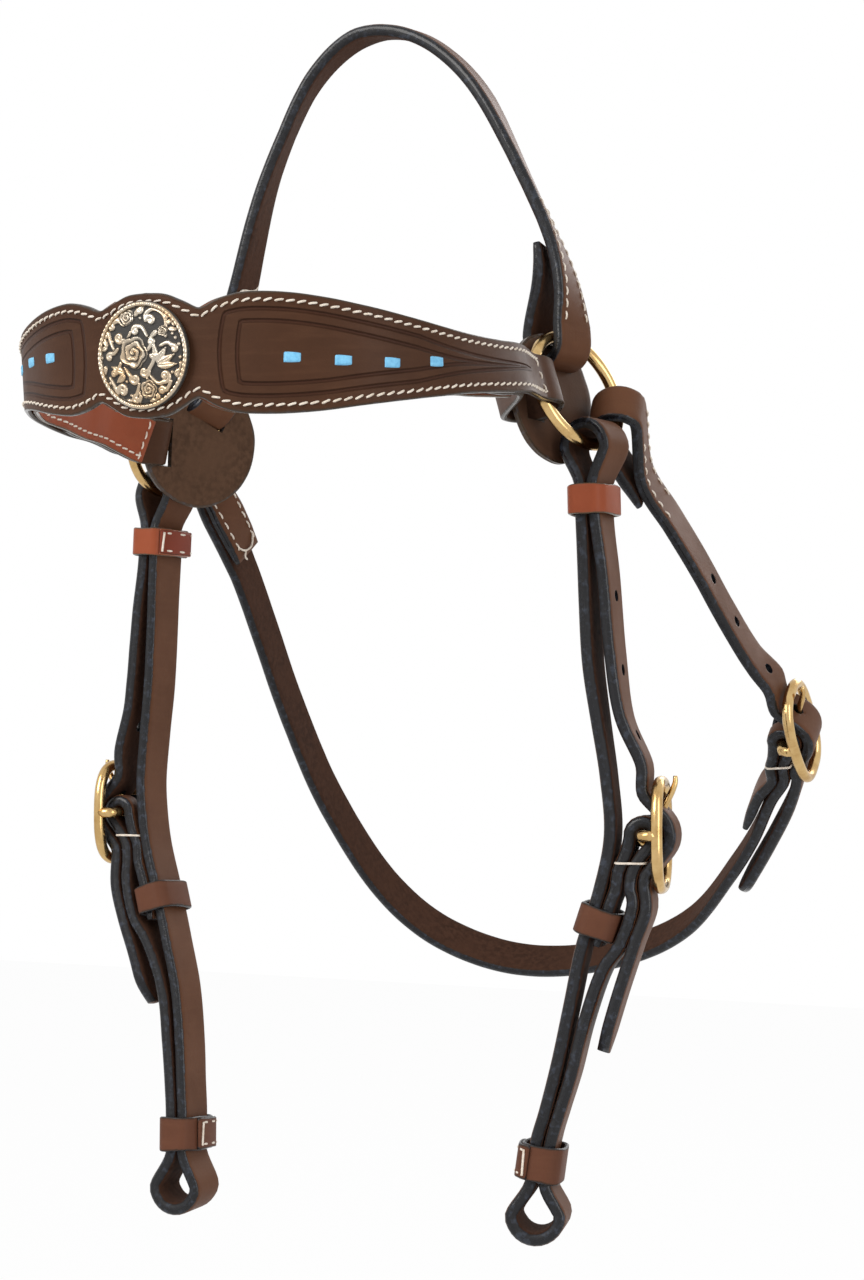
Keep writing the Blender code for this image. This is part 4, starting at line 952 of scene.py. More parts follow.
class Graph:
    # Short ways to add and join nodes in one tree.

    def __init__(self, tree):
        self.nodes = tree.nodes
        self.links = tree.links

    def add(self, kind, settings=None, inputs=None):
        node = self.nodes.new(kind)
        for key, value in (settings or {}).items():
            setattr(node, key, value)
        for key, value in (inputs or {}).items():
            self.put(node.inputs[key], value)
        return node

    def put(self, socket, value):
        if isinstance(value, bpy.types.NodeSocket):
            self.links.new(value, socket)
        else:
            socket.default_value = value

    def math(self, operation, a, b=0.0, clamp=False):
        settings = {"operation": operation, "use_clamp": clamp}
        return self.add("ShaderNodeMath", settings, {0: a, 1: b}).outputs[0]

    def plus(self, a, b, clamp=False):
        return self.math("ADD", a, b, clamp)

    def minus(self, a, b, clamp=False):
        return self.math("SUBTRACT", a, b, clamp)

    def times(self, a, b):
        return self.math("MULTIPLY", a, b)

    def attribute(self, name):
        return self.add("ShaderNodeAttribute", {"attribute_name": name}).outputs["Fac"]

    def noise(self, scale, detail=3.0, rough=0.6, stretch=(1.0, 1.0, 1.0)):
        place = self.add("ShaderNodeTexCoord").outputs["Object"]
        mapping = self.add("ShaderNodeMapping", {}, {"Vector": place, "Scale": stretch})
        values = {"Vector": mapping.outputs[0], "Scale": scale, "Detail": detail, "Roughness": rough}
        return self.add("ShaderNodeTexNoise", {}, values).outputs["Fac"]

    def ramp(self, value, low, high):
        # 0 below low and 1 above high, eased between them.
        settings = {"interpolation_type": "SMOOTHSTEP"}
        return self.add("ShaderNodeMapRange", settings, {0: value, 1: low, 2: high}).outputs[0]

    def mix(self, share, a, b):
        return self.add("ShaderNodeMix", {"data_type": "RGBA"}, {0: share, 6: a, 7: b}).outputs[2]

    def bump(self, height, distance, strength=1.0, normal=None):
        values = {"Height": height, "Distance": distance, "Strength": strength}
        if normal:
            values["Normal"] = normal
        return self.add("ShaderNodeBump", {}, values).outputs[0]


def nodeTree(name, kind, inputs, outputs):
    # A node group with inputs as (label, kind, value) and outputs as (label, kind).
    tree = bpy.data.node_groups.new(name, kind)
    for label, socketKind, value in inputs:
        made = tree.interface.new_socket(name=label, in_out="INPUT", socket_type="NodeSocket" + socketKind)
        if value is not None:
            made.default_value = value
    for label, socketKind in outputs:
        tree.interface.new_socket(name=label, in_out="OUTPUT", socket_type="NodeSocket" + socketKind)
    return tree


def colour(r, g, b):
    # A colour read as it looks on a screen, from 0 to 255.
    def linear(c):
        c = c / 255
        return c / 12.92 if c <= 0.04045 else ((c + 0.055) / 1.055) ** 2.4
    return (linear(r), linear(g), linear(b), 1.0)


leatherInputs = [
    ("Face", "Color", colour(97, 63, 43)), ("Back", "Color", colour(72, 48, 36)),
    ("Edge", "Color", colour(21, 21, 24)), ("Margin", "Color", colour(56, 42, 32)),
    ("Edge width", "Float", 0.9), ("Shine", "Float", 0.5), ("Tooling", "Float", 0.0)]


def leatherGroup():
    # Grain face, flesh back, burnished edge band and tooled lines, from the mesh's own measures.
    tree = nodeTree("leather", "ShaderNodeTree", leatherInputs, [
        ("Base Color", "Color"), ("Roughness", "Float"), ("Normal", "Vector"),
        ("Specular IOR Level", "Float")])
    g = Graph(tree)
    take = g.add("NodeGroupInput").outputs
    face, back, edge, black = take["Face"], take["Back"], take["Edge"], (0.0, 0.0, 0.0, 1.0)
    through = g.attribute("through")
    patch = g.noise(38.0, 4.0)
    fineGrain = g.noise(900.0)
    pebble = g.noise(420.0, 2.0, 0.5)
    streak = g.noise(60.0, 3.0, 0.5, (1.0, 1.0, 7.0))
    # The edge band starts a little inside the rim, by an uneven line
    start = g.plus(take["Edge width"], g.times(g.minus(pebble, 0.5), 0.9))
    onEdge = g.minus(1.0, g.ramp(g.attribute("rimMm"), g.minus(start, 0.35), g.plus(start, 0.35)))
    middle = g.minus(1.0, g.ramp(g.math("ABSOLUTE", through), 0.62, 0.98))
    edgeBand = g.times(onEdge, g.ramp(g.plus(middle, g.times(patch, 0.35)), 0.15, 0.45))
    isBack = g.math("LESS_THAN", through, 0.0)

    faceDark = g.mix(g.times(g.ramp(patch, 0.28, 0.75), 0.4), face, g.mix(0.5, face, black))
    faceTone = g.mix(g.times(g.ramp(streak, 0.45, 0.8), 0.06), faceDark, colour(140, 100, 74))
    # The flesh side darkened in the dents of its pebbled bump, which is painted shade in the pits
    backWithPaintedPitShade = g.mix(g.ramp(pebble, 0.3, 0.7), g.mix(0.45, back, black), back)
    backTone = g.mix(g.ramp(patch, 0.25, 0.75), backWithPaintedPitShade, back)
    marginTone = g.mix(g.times(onEdge, 0.85), g.mix(isBack, faceTone, backTone), take["Margin"])
    # The edge band's colour with a painted highlight: pale bluish-grey spots on the crests of the pebbled
    # bump stand for sheen on the burnished edge
    edgeWithPaintedSheen = g.mix(g.ramp(pebble, 0.5, 0.75), edge, g.mix(0.2, edge, colour(96, 106, 124)))
    tone = g.mix(edgeBand, marginTone, edgeWithPaintedSheen)

    rough = g.plus(take["Shine"], g.times(isBack, 0.35))
    rough = g.plus(rough, g.times(g.minus(patch, 0.5), 0.25), True)
    groove = 0.0
    for name in ("panelOuter", "panelInner"):
        line = g.math("ABSOLUTE", g.attribute(name))
        groove = g.math("MAXIMUM", groove, g.minus(1.0, g.ramp(line, 0.15, 0.95)))
    groove = g.times(groove, take["Tooling"])
    pits = g.times(pebble, g.plus(g.times(onEdge, 0.45), g.times(isBack, 0.7)))
    normal = g.bump(fineGrain, 0.00012, 0.5)
    normal = g.bump(pits, 0.0005, 0.6, normal)
    normal = g.bump(streak, 0.0003, 0.12, normal)
    g.add("NodeGroupOutput", {}, {
        "Base Color": g.mix(g.times(groove, 0.5), tone, colour(50, 24, 16)),
        "Roughness": g.minus(rough, g.times(edgeBand, 0.26), True),
        "Normal": g.bump(g.minus(1.0, groove), 0.0009, 1.0, normal),
        "Specular IOR Level": g.plus(0.1, g.times(edgeBand, 0.22))})
    return tree


def material(name, look):
    # A material whose Principled sockets take what look gives for them in its graph.
    mat = bpy.data.materials.new(name)
    mat.use_nodes = True
    g = Graph(mat.node_tree)
    shader = g.nodes["Principled BSDF"]
    for socket, value in look(g).items():
        g.put(shader.inputs[socket], value)
    return mat


def leatherMaterial(name, values):
    def look(g):
        outputs = g.add("ShaderNodeGroup", {"node_tree": leatherTree}, values).outputs
        return {socket.name: socket for socket in outputs}
    return material(name, look)


def brassLook(g):
    worn = g.ramp(g.noise(120.0, 4.0), 0.35, 0.75)
    scratch = g.noise(1400.0, 2.0, 0.5, (1.0, 1.0, 0.2))
    return {"Base Color": g.mix(worn, colour(208, 176, 122), colour(180, 144, 90)), "Metallic": 1.0,
            "Roughness": g.plus(0.16, g.times(worn, 0.12)), "Normal": g.bump(scratch, 0.00004, 0.4)}


def silverLook(g):
    # Bright where it is raised, and dark in the ground between.
    dirt = g.plus(g.attribute("raised"), g.times(g.minus(g.noise(300.0), 0.5), 0.35))
    bright = g.ramp(dirt, 0.1, 0.62)
    warm = g.ramp(g.noise(50.0, 3.0, 0.5), 0.3, 0.7)
    metal = g.mix(warm, colour(204, 196, 182), colour(192, 164, 128))
    return {"Base Color": g.mix(bright, colour(36, 32, 28), metal), "Metallic": bright,
            "Roughness": g.minus(0.62, g.times(bright, 0.36)), "Normal": g.bump(g.noise(700.0), 0.0002, 0.5)}


def fibreMaterial(name, light, dark, patches, weave, roughness):
    def look(g):
        worn = g.ramp(g.noise(patches), 0.3, 0.8)
        return {"Base Color": g.mix(worn, light, dark), "Roughness": roughness,
                "Normal": g.bump(g.noise(weave, 2.0, 0.5), 0.0002, roughness)}
    return material(name, look)


leatherTree = leatherGroup()
darkLeather = leatherMaterial("brown strap leather", {})
browLeather = leatherMaterial("browband leather", {
    "Face": colour(74, 48, 33), "Edge": colour(58, 48, 38), "Margin": colour(64, 46, 32), "Shine": 0.45,
    "Tooling": 1.0})
tanLeather = leatherMaterial("red tan leather", {
    "Face": colour(150, 78, 52), "Back": colour(140, 84, 60), "Edge": colour(84, 68, 50),
    "Margin": colour(110, 66, 46), "Edge width": 0.5, "Shine": 0.38})
keeperLeather = leatherMaterial("brown keeper leather", {
    "Face": colour(98, 62, 46), "Edge": colour(36, 34, 34), "Edge width": 0.8})
padLeather = leatherMaterial("rough pad leather", {
    "Face": colour(84, 60, 46), "Back": colour(92, 68, 52), "Edge": colour(70, 56, 44)})
lapLeather = leatherMaterial("dark red leather", {
    "Face": colour(126, 60, 44), "Edge": colour(150, 84, 52), "Edge width": 0.5, "Shine": 0.4})
brass = material("polished brass", brassLook)
silver = material("antique silver", silverLook)
thread = fibreMaterial("waxed thread", colour(236, 226, 212), colour(206, 190, 170), 500.0, 2500.0, 0.6)
lace = fibreMaterial("sky blue lace", colour(128, 200, 236), colour(98, 172, 216), 600.0, 1500.0, 0.5)
print("materials made")


# Straps

def makeHeadpiece(route):
    obj = sweep("headpiece_leather", route, skived(runOf(route)[-1]), halfStrap, darkLeather)
    finish(obj, "headpiece_and_browband", "dark_leather", "headpiece")


panelLines = {"start": 27.4, "innerStart": 33.6, "inset": 5.9, "innerInset": 9.9, "point": 166.0,
              "innerPoint": 152.0, "taper": 96.0, "bow": 2.2, "bowWidth": 15.0, "beyond": -9.0}


def pressPanels(face, first):
    # Distances to the two pressed lines of each panel, kept on the face's mesh for its shader.
    mesh = face.data
    across = np.zeros(len(mesh.vertices), dtype=np.float32)
    run = np.zeros_like(across)
    mesh.attributes["acrossMm"].data.foreach_get("value", across)
    mesh.attributes["alongMm"].data.foreach_get("value", run)
    distance = np.abs(run + first)
    half = np.array([halfHeight(value + first) for value in run])
    bow = panelLines["bow"] * (across / panelLines["bowWidth"]) ** 2
    for name, keys in (("panelOuter", ("start", "inset", "point")),
                       ("panelInner", ("innerStart", "innerInset", "innerPoint"))):
        start, inset, point = (panelLines[key] for key in keys)
        close = np.clip((point - distance) / (point - panelLines["taper"]), 0.0, 1.0)
        line = np.minimum(distance - start - bow, (half - inset) * close - np.abs(across))
        line = np.where(distance > point, panelLines["beyond"], line)
        mesh.attributes.new(name, "FLOAT", "POINT").data.foreach_set("value", line.astype(np.float32))


def makeBrowband(stations, first, lining, heights):
    face = sweep("browband_outer", stations, faceThick, lambda at: halfHeight(at + first), browLeather,
                 corner=0.9, flat=30, wobble=0.08)
    pressPanels(face, first)
    table = list(zip(runOf(lining), heights))
    back = sweep("browband_inner", lining, liningThick, lambda at: readTable(table, at), tanLeather,
                 grain=-1.0, corner=0.7, flat=16, wobble=0.15)
    for obj, slotName, node in ((face, "dark_leather", "browband_face"),
                                (back, "tan_leather", "browband_lining")):
        hole = cylinder("post_hole", conchoPost / 2 + gapSize, 30.0, conchoFrame(), 24)
        finish(cutHoles(obj, [hole]), "headpiece_and_browband", slotName, node)


def freeHoles(route, place, pitch):
    # Distances of the three holes before the one that the tongue lies in, on the strap's later part.
    target = place @ (tonguePoints()[1] * mm) / mm
    run = runOf(route)
    late = [i for i, value in enumerate(run) if value > run[-1] * 0.4]
    used = run[min(late, key=lambda i: (route[i][0] - target).length)]
    return [used - pitch * k for k in (1, 2, 3)]


def makeBuckledStrap(name, route, wire, place, pitch, body, node, grain=1.0):
    # A strap that goes over a ring's wire and comes to a blunt tip beyond its buckle.
    total = runOf(route)[-1]
    obj = sweep(name, route, skived(total, bothEnds=False), waisted(route, wire, taperedTip(total)),
                darkLeather, grain)
    cuts = tongueCutters(node, place) + holeCutters(node, route, freeHoles(route, place, pitch))
    finish(cutHoles(obj, cuts), body, "dark_leather", node)


def makeCheek(side):
    wire = cheekRings[side].wire(cheekTable[side]["ring_at"])
    makeBuckledStrap(f"cheek_leather_{side}", cheekRoute(side), wire, buckleFrame(side), holePitch,
                     "cheek_" + side, "cheek_strap_" + side, sideSigns[side])


def makeThroatlash(billet, strap):
    place = buckleFrame("throat")
    makeBuckledStrap("throat_billet_leather", billet, cheekRings["near"].wire(throatAt["near"]), place,
                     throatHolePitch, "throatlash", "throat_billet")
    wire = cheekRings["far"].wire(throatAt["far"])
    obj = sweep("throat_strap_leather", strap, skived(runOf(strap)[-1]), waisted(strap, wire, halfStrap),
                darkLeather)
    finish(cutHoles(obj, tongueCutters("throat", place)), "throatlash", "dark_leather", "throat_strap")


# Rings, pads, buckles and keepers

def brassPiece(name, parts, body):
    # One piece of brass from its parts, on a body whose only solid has the body's name.
    for obj in parts:
        obj.data.materials.append(brass)
    whole = joined(name, parts)
    whole.data.shade_smooth()
    finish(whole, body, "brass", body)


def makeRing(side):
    name = f"ring_wire_{side}"
    brassPiece(name, [torus(name, ringRadius, wireRadius, cheekRings[side].matrix())], "ring_" + side)


padLook = {"rings": 14, "turns": 96, "ragged": 0.35, "lump": 0.25, "dip": 0.45, "rimThrough": 0.7}
padSlotTrim = {"crown": 2.2, "brow": 1.0}


def padDisc(side, place, face):
    # A disc of leather with an uneven rim and faces. face is the sign of Z on its grain side.
    rings, turns = padLook["rings"], padLook["turns"]
    radius = ringRadius + padMargin[side]
    verts, rimMm, through = [], [], []
    for z in (1, -1):
        verts.append((0.0, 0.0, z * padThick / 2))
        rimMm.append(radius)
        through.append(z * face)
        for i in range(1, rings + 1):
            dip, share = (padLook["dip"], padLook["rimThrough"]) if i == rings else (0.0, 1.0)
            for j in range(turns):
                x, y = cos(2 * pi * j / turns), sin(2 * pi * j / turns)
                ragged = noise.noise(Vector((x * 2.2, y * 2.2, 1.7))) * padLook["ragged"]
                r = (radius + ragged) * (i / rings)
                lump = noise.noise(Vector((x * r * 0.12, y * r * 0.12, 5.0))) * padLook["lump"]
                verts.append((x * r, y * r, z * (padThick / 2 - dip) + lump))
                rimMm.append(radius - r)
                through.append(z * face * share)
    size = 1 + rings * turns
    faces = []
    for layer in (0, size):
        faces += [(layer, layer + 1 + j, layer + 1 + (j + 1) % turns) for j in range(turns)]
        for i in range(rings - 1):
            faces += band(layer + 1 + i * turns, layer + 1 + (i + 1) * turns, turns)
    outer = 1 + (rings - 1) * turns
    faces += band(outer, size + outer, turns)
    toWorld = Matrix.Translation(toOrigin * mm) @ place
    return solidFrom(f"pad_leather_{side}", [toWorld @ (Vector(v) * mm) for v in verts], faces,
                     padLeather, {"rimMm": rimMm, "through": through})


def makePad(side):
    ring = cheekRings[side]
    middle, rear, up = padFrame(side)
    out = rear.cross(up)
    obj = padDisc(side, frameMatrix(middle, rear, up, out), 1 if out.dot(ring.normal) > 0 else -1)
    cuts = []
    for name, angle, thick in (("crown", crownHookAt[side], strapThick), ("brow", 180.0, faceThick)):
        centre, radial, fold = ringFold(ring, angle, thick)
        bend = (fold[0] - centre).length
        reach = bend + thick / 2 + gapSize - padSlotTrim[name]
        across = ring.normal.cross(radial)
        slotMiddle = centre - radial * (reach / 2 - 0.3) - ring.normal * bend * 0.55
        cuts.append(box(f"pad_slot_{name}_{side}", (strapWidth + 0.5, reach + 0.6, bend * 0.9 + 5),
                        frameMatrix(slotMiddle, across, radial, across.cross(radial))))
    obj = cutHoles(obj, cuts)
    obj.data.shade_smooth()
    obj.data.set_sharp_from_angle(angle=radians(50))
    finish(obj, "headpiece_and_browband", "dark_leather", "ring_pad_" + side)


def buckleOutline(steps):
    # Closed oval of the frame's wire, flattened at its sides and ends.
    halfWide = buckleWidth / 2 - rimRadius
    halfHigh = buckleHeight / 2 - rimRadius
    power = 2 / buckleSquareness
    points = []
    for i in range(steps):
        angle = 2 * pi * (i + 0.5) / steps
        y = halfWide * abs(cos(angle)) ** power * (1 if cos(angle) > 0 else -1)
        z = halfHigh * abs(sin(angle)) ** power * (1 if sin(angle) > 0 else -1)
        points.append((barSetIn, y, z))
    return points


def makeBuckle(side, body, tongueBody):
    name, place = f"buckle_{side}", buckleFrame(side)
    reach = rimRadius - buckleWidth / 2
    lug = [(barSetIn, reach), (barSetIn * 0.45, reach), (barSetIn * 0.1, reach + lugBend * 0.3),
           (0, reach + lugBend)]
    bar = [(x, y, 0.0) for x, y in lug] + [(x, -y, 0.0) for x, y in reversed(lug)]
    brassPiece(name, [inPlace(tube(name + "_frame", buckleOutline(96), rimRadius, True, sides=6), place),
                      inPlace(tube(name + "_bar", bar, barRadius, sides=5), place)], body)

    turn = Matrix.Rotation(radians(90), 4, "X")
    eye = torus(name + "_eye", barRadius + gapSize + eyeWire, eyeWire, place @ turn, 32, 12)
    path = [point for point, _ in smoothRoute([(key, Vector((0, 1, 0))) for key in tonguePoints()], 1.2)]
    radii = [1.05 - 0.5 * (i / (len(path) - 1)) ** 2 for i in range(len(path))]
    stem = inPlace(tube(name + "_stem", path, tongueDia / 2, radii=radii, sides=6), place)
    brassPiece(name + "_tongue", [eye, stem], tongueBody)


keeperLook = {"bend": 3.7, "puff": 0.8, "sidePuff": 0.48, "uneven": 0.15, "seamStep": 1.5}

# Shares of the way round that a keeper's overlapping end covers
keeperLaps = {("top_keeper", "far"): (0.60, 0.92), ("bit_keeper", "near"): (0.555, 0.86),
              ("bit_keeper", "far"): (0.66, 0.92)}

# Rows of stitches on a lap: place along the keeper, and the ends of each stitch, as shares
lapStitches = [(-0.32, [(0.12, 0.36), (0.45, 0.68), (0.76, 0.97)]),
               (0.32, [(0.10, 0.34), (0.43, 0.66), (0.75, 0.95)])]
lapEndStitch = (-0.36, -0.1, 0.12, 0.34)


def keeperSeam(halfOut, halfAcross):
    # The middle line of its wall as (outward, across), from the back edge right round by the outer face.
    bend, puff, sidePuff = keeperLook["bend"], keeperLook["puff"], keeperLook["sidePuff"]
    turns = [(0.0, -halfAcross)]
    for x, y, start in ((1, -1, 270), (1, 1, 0), (-1, 1, 90), (-1, -1, 180)):
        turns += arc((x * (halfOut - bend), y * (halfAcross - bend)), bend, start, start + 90, 8)
    turns.append((-0.3, -halfAcross))
    seam = []
    for (x, y), (nx, ny) in zip(turns, turns[1:] + [turns[-1]]):
        steps = max(1, int(sqrt((nx - x) ** 2 + (ny - y) ** 2) / keeperLook["seamStep"]))
        for i in range(steps):
            px = x + (nx - x) * i / steps
            py = y + (ny - y) * i / steps
            if abs(px) > halfOut * 0.6:
                px += puff * max(0.0, 1 - (py / (halfAcross - bend * 0.5)) ** 2) * (1 if px > 0 else -1)
            if abs(py) > halfAcross * 0.9:
                py += sidePuff * max(0.0, 1 - (px / halfOut) ** 2) * (1 if py > 0 else -1)
            seam.append((px, py))
    return seam


def makeLap(keys, lap, centre, length, grain, mat):
    # The overlapping end of a keeper and the stitches that hold it.
    run, travel = runOf(keys), keys[0][1]
    covered = []
    for i in range(1, len(keys) - 1):
        if lap[0] <= run[i] / run[-1] <= lap[1]:
            way = (keys[i + 1][0] - keys[i - 1][0]).normalized()
            away = way.cross(travel)
            if away.dot(keys[i][0] - centre) < 0:
                away = -away
            covered.append((keys[i][0] + away * (keeperWall * 0.9), away, way))
    lines = []
    for share, stitches in lapStitches:
        for first, second in stitches:
            line = []
            top = keeperWall * 0.4 + 0.35
            for value, lift in ((first, -0.4), ((first + second) / 2, top), (second, -0.4)):
                place, away, _ = covered[round((len(covered) - 1) * value)]
                line.append(place + travel * (share * length) + away * lift)
            lines.append(line)
    place, away, way = covered[1]
    surface = place + away * (keeperWall * 0.4 + 0.3)
    lines.append([surface + travel * (share * length) + way * (0.25 * i)
                  for i, share in enumerate(lapEndStitch)])
    cover = sweep("lap", [(place, travel) for place, _, _ in covered], keeperWall * 0.8, length / 2 - 0.5,
                  mat, grain, 0.6, 8, 0.5)
    return [cover] + [strand("lap_stitch", softLine(line), 0.45) for line in lines]


def makeKeeper(side, key, mat, lapMat, slotName):
    # A leather band round both layers of a cheek.
    lies = CheekFrame(side)
    z, length = lies.shape[key], keeperLength[key]
    middle, travel = lies.chord(z, length / 2 + keeperRun)
    out, across = lies.axes(z)
    across = (across - travel * across.dot(travel)).normalized()
    squareOut = across.cross(travel).normalized()
    if squareOut.dot(out) < 0:
        squareOut = -squareOut
    centre = middle + squareOut * layerStep / 2 * abs(travel.z)
    if across.y > 0:
        across = -across
    seam = keeperSeam((strapThick + layerStep + 2 * keeperGap) / 2 + keeperWall / 2,
                      (strapWidth + 2 * keeperGap) / 2 + keeperWall / 2)
    keys = [(centre + squareOut * x + across * y, travel) for x, y in seam]
    grain = 1 if travel.cross(squareOut).dot(across) > 0 else -1

    def uneven(at):
        return length / 2 + keeperLook["uneven"] * sin(at * 0.35 + z * 0.37)

    layers = [sweep(f"{key}_leather_{side}", keys, keeperWall, uneven, mat, grain, 0.75, 8, 0.25)]
    if (key, side) in keeperLaps:
        layers += makeLap(keys, keeperLaps[key, side], centre, length, grain, lapMat)
    finish(joined(f"{key}_band_{side}", layers), f"{key}_{side}", slotName, f"{key}_{side}")


headRoute = crownRoute()
browStations, browRun = browRoute()
lining, liningHeights = liningRoute()
billet, throatStrip = billetRoute(), throatRoute()
makeHeadpiece(headRoute)
makeBrowband(browStations, browRun[0], lining, liningHeights)
for side in sideSigns:
    makeCheek(side)
makeThroatlash(billet, throatStrip)
print("straps made")
for side in sideSigns:
    makeRing(side)
    makePad(side)
    makeBuckle(side, "cheek_buckle_" + side, "cheek_tongue_" + side)
makeBuckle("throat", "throat_buckle", "throat_tongue")
for side in sideSigns:
    makeKeeper(side, "top_keeper", tanLeather, lapLeather, "tan_leather")
    for key in ("middle_keeper", "bit_keeper"):
        makeKeeper(side, key, keeperLeather, keeperLeather, "dark_leather")
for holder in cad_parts["concho_nut"].material_slots:
    holder.material = silver
print("rings, pads, buckles and keepers made")


# Stitches, made by one node tree from lines that lie on the leather

stitchKinds = {
    "browband": {"Pitch": 3.75, "Length": 2.8, "Thread": 0.4, "Slant": 16.0, "Rise": 0.4},
    "strap": {"Pitch": 4.6, "Length": 3.4, "Thread": 0.42, "Slant": 4.0, "Rise": 0.3},
    "lining": {"Pitch": 4.0, "Length": 3.0, "Thread": 0.4, "Slant": 8.0, "Rise": 0.3},
}
stitchInputs = [("Rows", "Geometry", None), ("Pitch", "Float", 0.004), ("Length", "Float", 0.003),
                ("Thread", "Float", 0.0005), ("Slant", "Float", 0.0), ("Rise", "Float", 0.0004),
                ("Seed", "Int", 3), ("Finish", "Material", None)]


def stitchTree():
    tree = nodeTree("stitch row", "GeometryNodeTree", stitchInputs, [("Stitches", "Geometry")])
    tree.is_modifier = True
    g = Graph(tree)
    take = g.add("NodeGroupInput").outputs
    rows = g.add("GeometryNodeMeshToCurve", {}, {"Mesh": take["Rows"]})
    places = g.add("GeometryNodeCurveToPoints", {"mode": "LENGTH"},
                   {"Curve": rows.outputs[0], "Length": take["Pitch"]})
    up = g.add("GeometryNodeInputNamedAttribute", {"data_type": "FLOAT_VECTOR"}, {"Name": "up"})
    facing = g.add("FunctionNodeAxesToRotation", {"primary_axis": "Z", "secondary_axis": "X"},
                   {"Primary Axis": up.outputs["Attribute"], "Secondary Axis": places.outputs["Tangent"]})
    chance = g.add("FunctionNodeRandomValue", {"data_type": "FLOAT"},
                   {"Seed": take["Seed"], 2: -0.09, 3: 0.09})
    jitter = next(out for out in chance.outputs if out.enabled)
    turn = g.add("FunctionNodeAxisAngleToRotation", {},
                 {"Axis": (0.0, 0.0, 1.0), "Angle": g.plus(g.math("RADIANS", take["Slant"]), jitter)})
    turned = g.add("FunctionNodeRotateRotation", {"rotation_space": "LOCAL"},
                   {"Rotation": facing.outputs[0], "Rotate By": turn.outputs[0]})
    half = g.times(take["Length"], 0.5)
    sink = g.times(take["Thread"], -1.0)
    start, end = (g.add("ShaderNodeCombineXYZ", {}, {"X": g.times(half, sign), "Z": sink}).outputs[0]
                  for sign in (-1.0, 1.0))
    top = g.add("ShaderNodeCombineXYZ", {}, {"Z": g.times(take["Rise"], 3.0)}).outputs[0]
    line = g.add("GeometryNodeCurveQuadraticBezier", {},
                 {"Resolution": 4, "Start": start, "Middle": top, "End": end})
    section = g.add("GeometryNodeCurvePrimitiveCircle", {}, {"Resolution": 6, "Radius": take["Thread"]})
    stitch = g.add("GeometryNodeCurveToMesh", {},
                   {"Curve": line.outputs[0], "Profile Curve": section.outputs[0], "Fill Caps": True})
    copies = g.add("GeometryNodeInstanceOnPoints", {},
                   {"Points": places.outputs["Points"], "Instance": stitch.outputs[0],
                    "Rotation": turned.outputs[0]})
    real = g.add("GeometryNodeRealizeInstances", {}, {"Geometry": copies.outputs[0]})
    smooth = g.add("GeometryNodeSetShadeSmooth", {}, {"Geometry": real.outputs[0]})
    finished = g.add("GeometryNodeSetMaterial", {},
                     {"Geometry": smooth.outputs[0], "Material": take["Finish"]})
    g.add("NodeGroupOutput", {}, {0: finished.outputs[0]})
    return tree


def placeAt(route, run, distance):
    # Place, way across and way out of the leather at a distance along a squared route.
    index = max(i for i, value in enumerate(run[:-1]) if value <= max(distance, run[0]))
    (start, fromAcross), (end, toAcross) = route[index:index + 2]
    share = min(max((distance - run[index]) / (run[index + 1] - run[index]), 0.0), 1.0)
    across = fromAcross.lerp(toAcross, share).normalized()
    return start.lerp(end, share), across, (end - start).normalized().cross(across).normalized()


def rowPoint(route, run, distance, x, lift):
    centre, across, out = placeAt(route, run, distance)
    return centre + across * x + out * lift, out if lift > 0 else -out


def rowLine(route, run, start, end, offset, lift):
    # Points of a row along the leather. offset is a number or gives one at each distance.
    count = max(2, int(abs(end - start) / 1.5))
    distances = [start + (end - start) * i / count for i in range(count + 1)]
    return [rowPoint(route, run, distance, reading(offset, distance), lift) for distance in distances]


def crossLine(route, run, distance, reach, lift):
    return [rowPoint(route, run, distance, reach * k / 6, lift) for k in range(-6, 7)]


def sew(name, lines, kind, seed):
    points, edges = [], []
    for line in lines:
        edges += [(len(points) + i, len(points) + i + 1) for i in range(len(line) - 1)]
        points += line
    obj = meshFrom(name, [worldPoint(place) for place, _ in points], [], edges=edges)
    layer = obj.data.attributes.new("up", "FLOAT_VECTOR", "POINT")
    layer.data.foreach_set("vector", np.array([tuple(up) for _, up in points], dtype=np.float32).ravel())
    modifier = obj.modifiers.new("stitches", "NODES")
    modifier.node_group = sewingTree
    values = dict(stitchKinds[kind], Seed=seed, Finish=thread)
    for item in sewingTree.interface.items_tree:
        if item.item_type == "SOCKET" and item.in_out == "INPUT" and item.name in values:
            value = values[item.name]
            if item.name in ("Pitch", "Length", "Thread", "Rise"):
                value *= mm
            modifier[item.identifier] = value
    done = applied(obj)
    tidyNormals(done)
    return done


browSewing = {"inset": 2.9, "end": 185.0, "lift": faceThick / 2 + 0.05}
liningSewing = {"inset": 2.8, "start": 3.0, "end": 130.0, "cross": 2.6, "lift": -(liningThick / 2 + 0.05)}
strapLift = strapThick / 2 + 0.05
crownRows = ((118.0, 164.0), (-149.0, -125.0))


def crownTies(crown, run):
    # The loose thread at the far end's stitches, on the strap's inner side.
    centre, across, out = placeAt(crown, run, -121.5)
    inside = centre - out * (strapThick / 2 + 0.2)
    points = [inside + across * x + Vector((0, 0, z))
              for x, z in ((-7.2, -2.6), (-6.2, 0.0), (5.6, 0.0), (8.2, 3.2))]
    end = [inside + across * 4.6, inside + across * 7.6 + Vector((0, 0, -2.2))]
    return [strand("crown_tie", softLine(points), 0.5), strand("crown_tie_end", end, 0.45)]


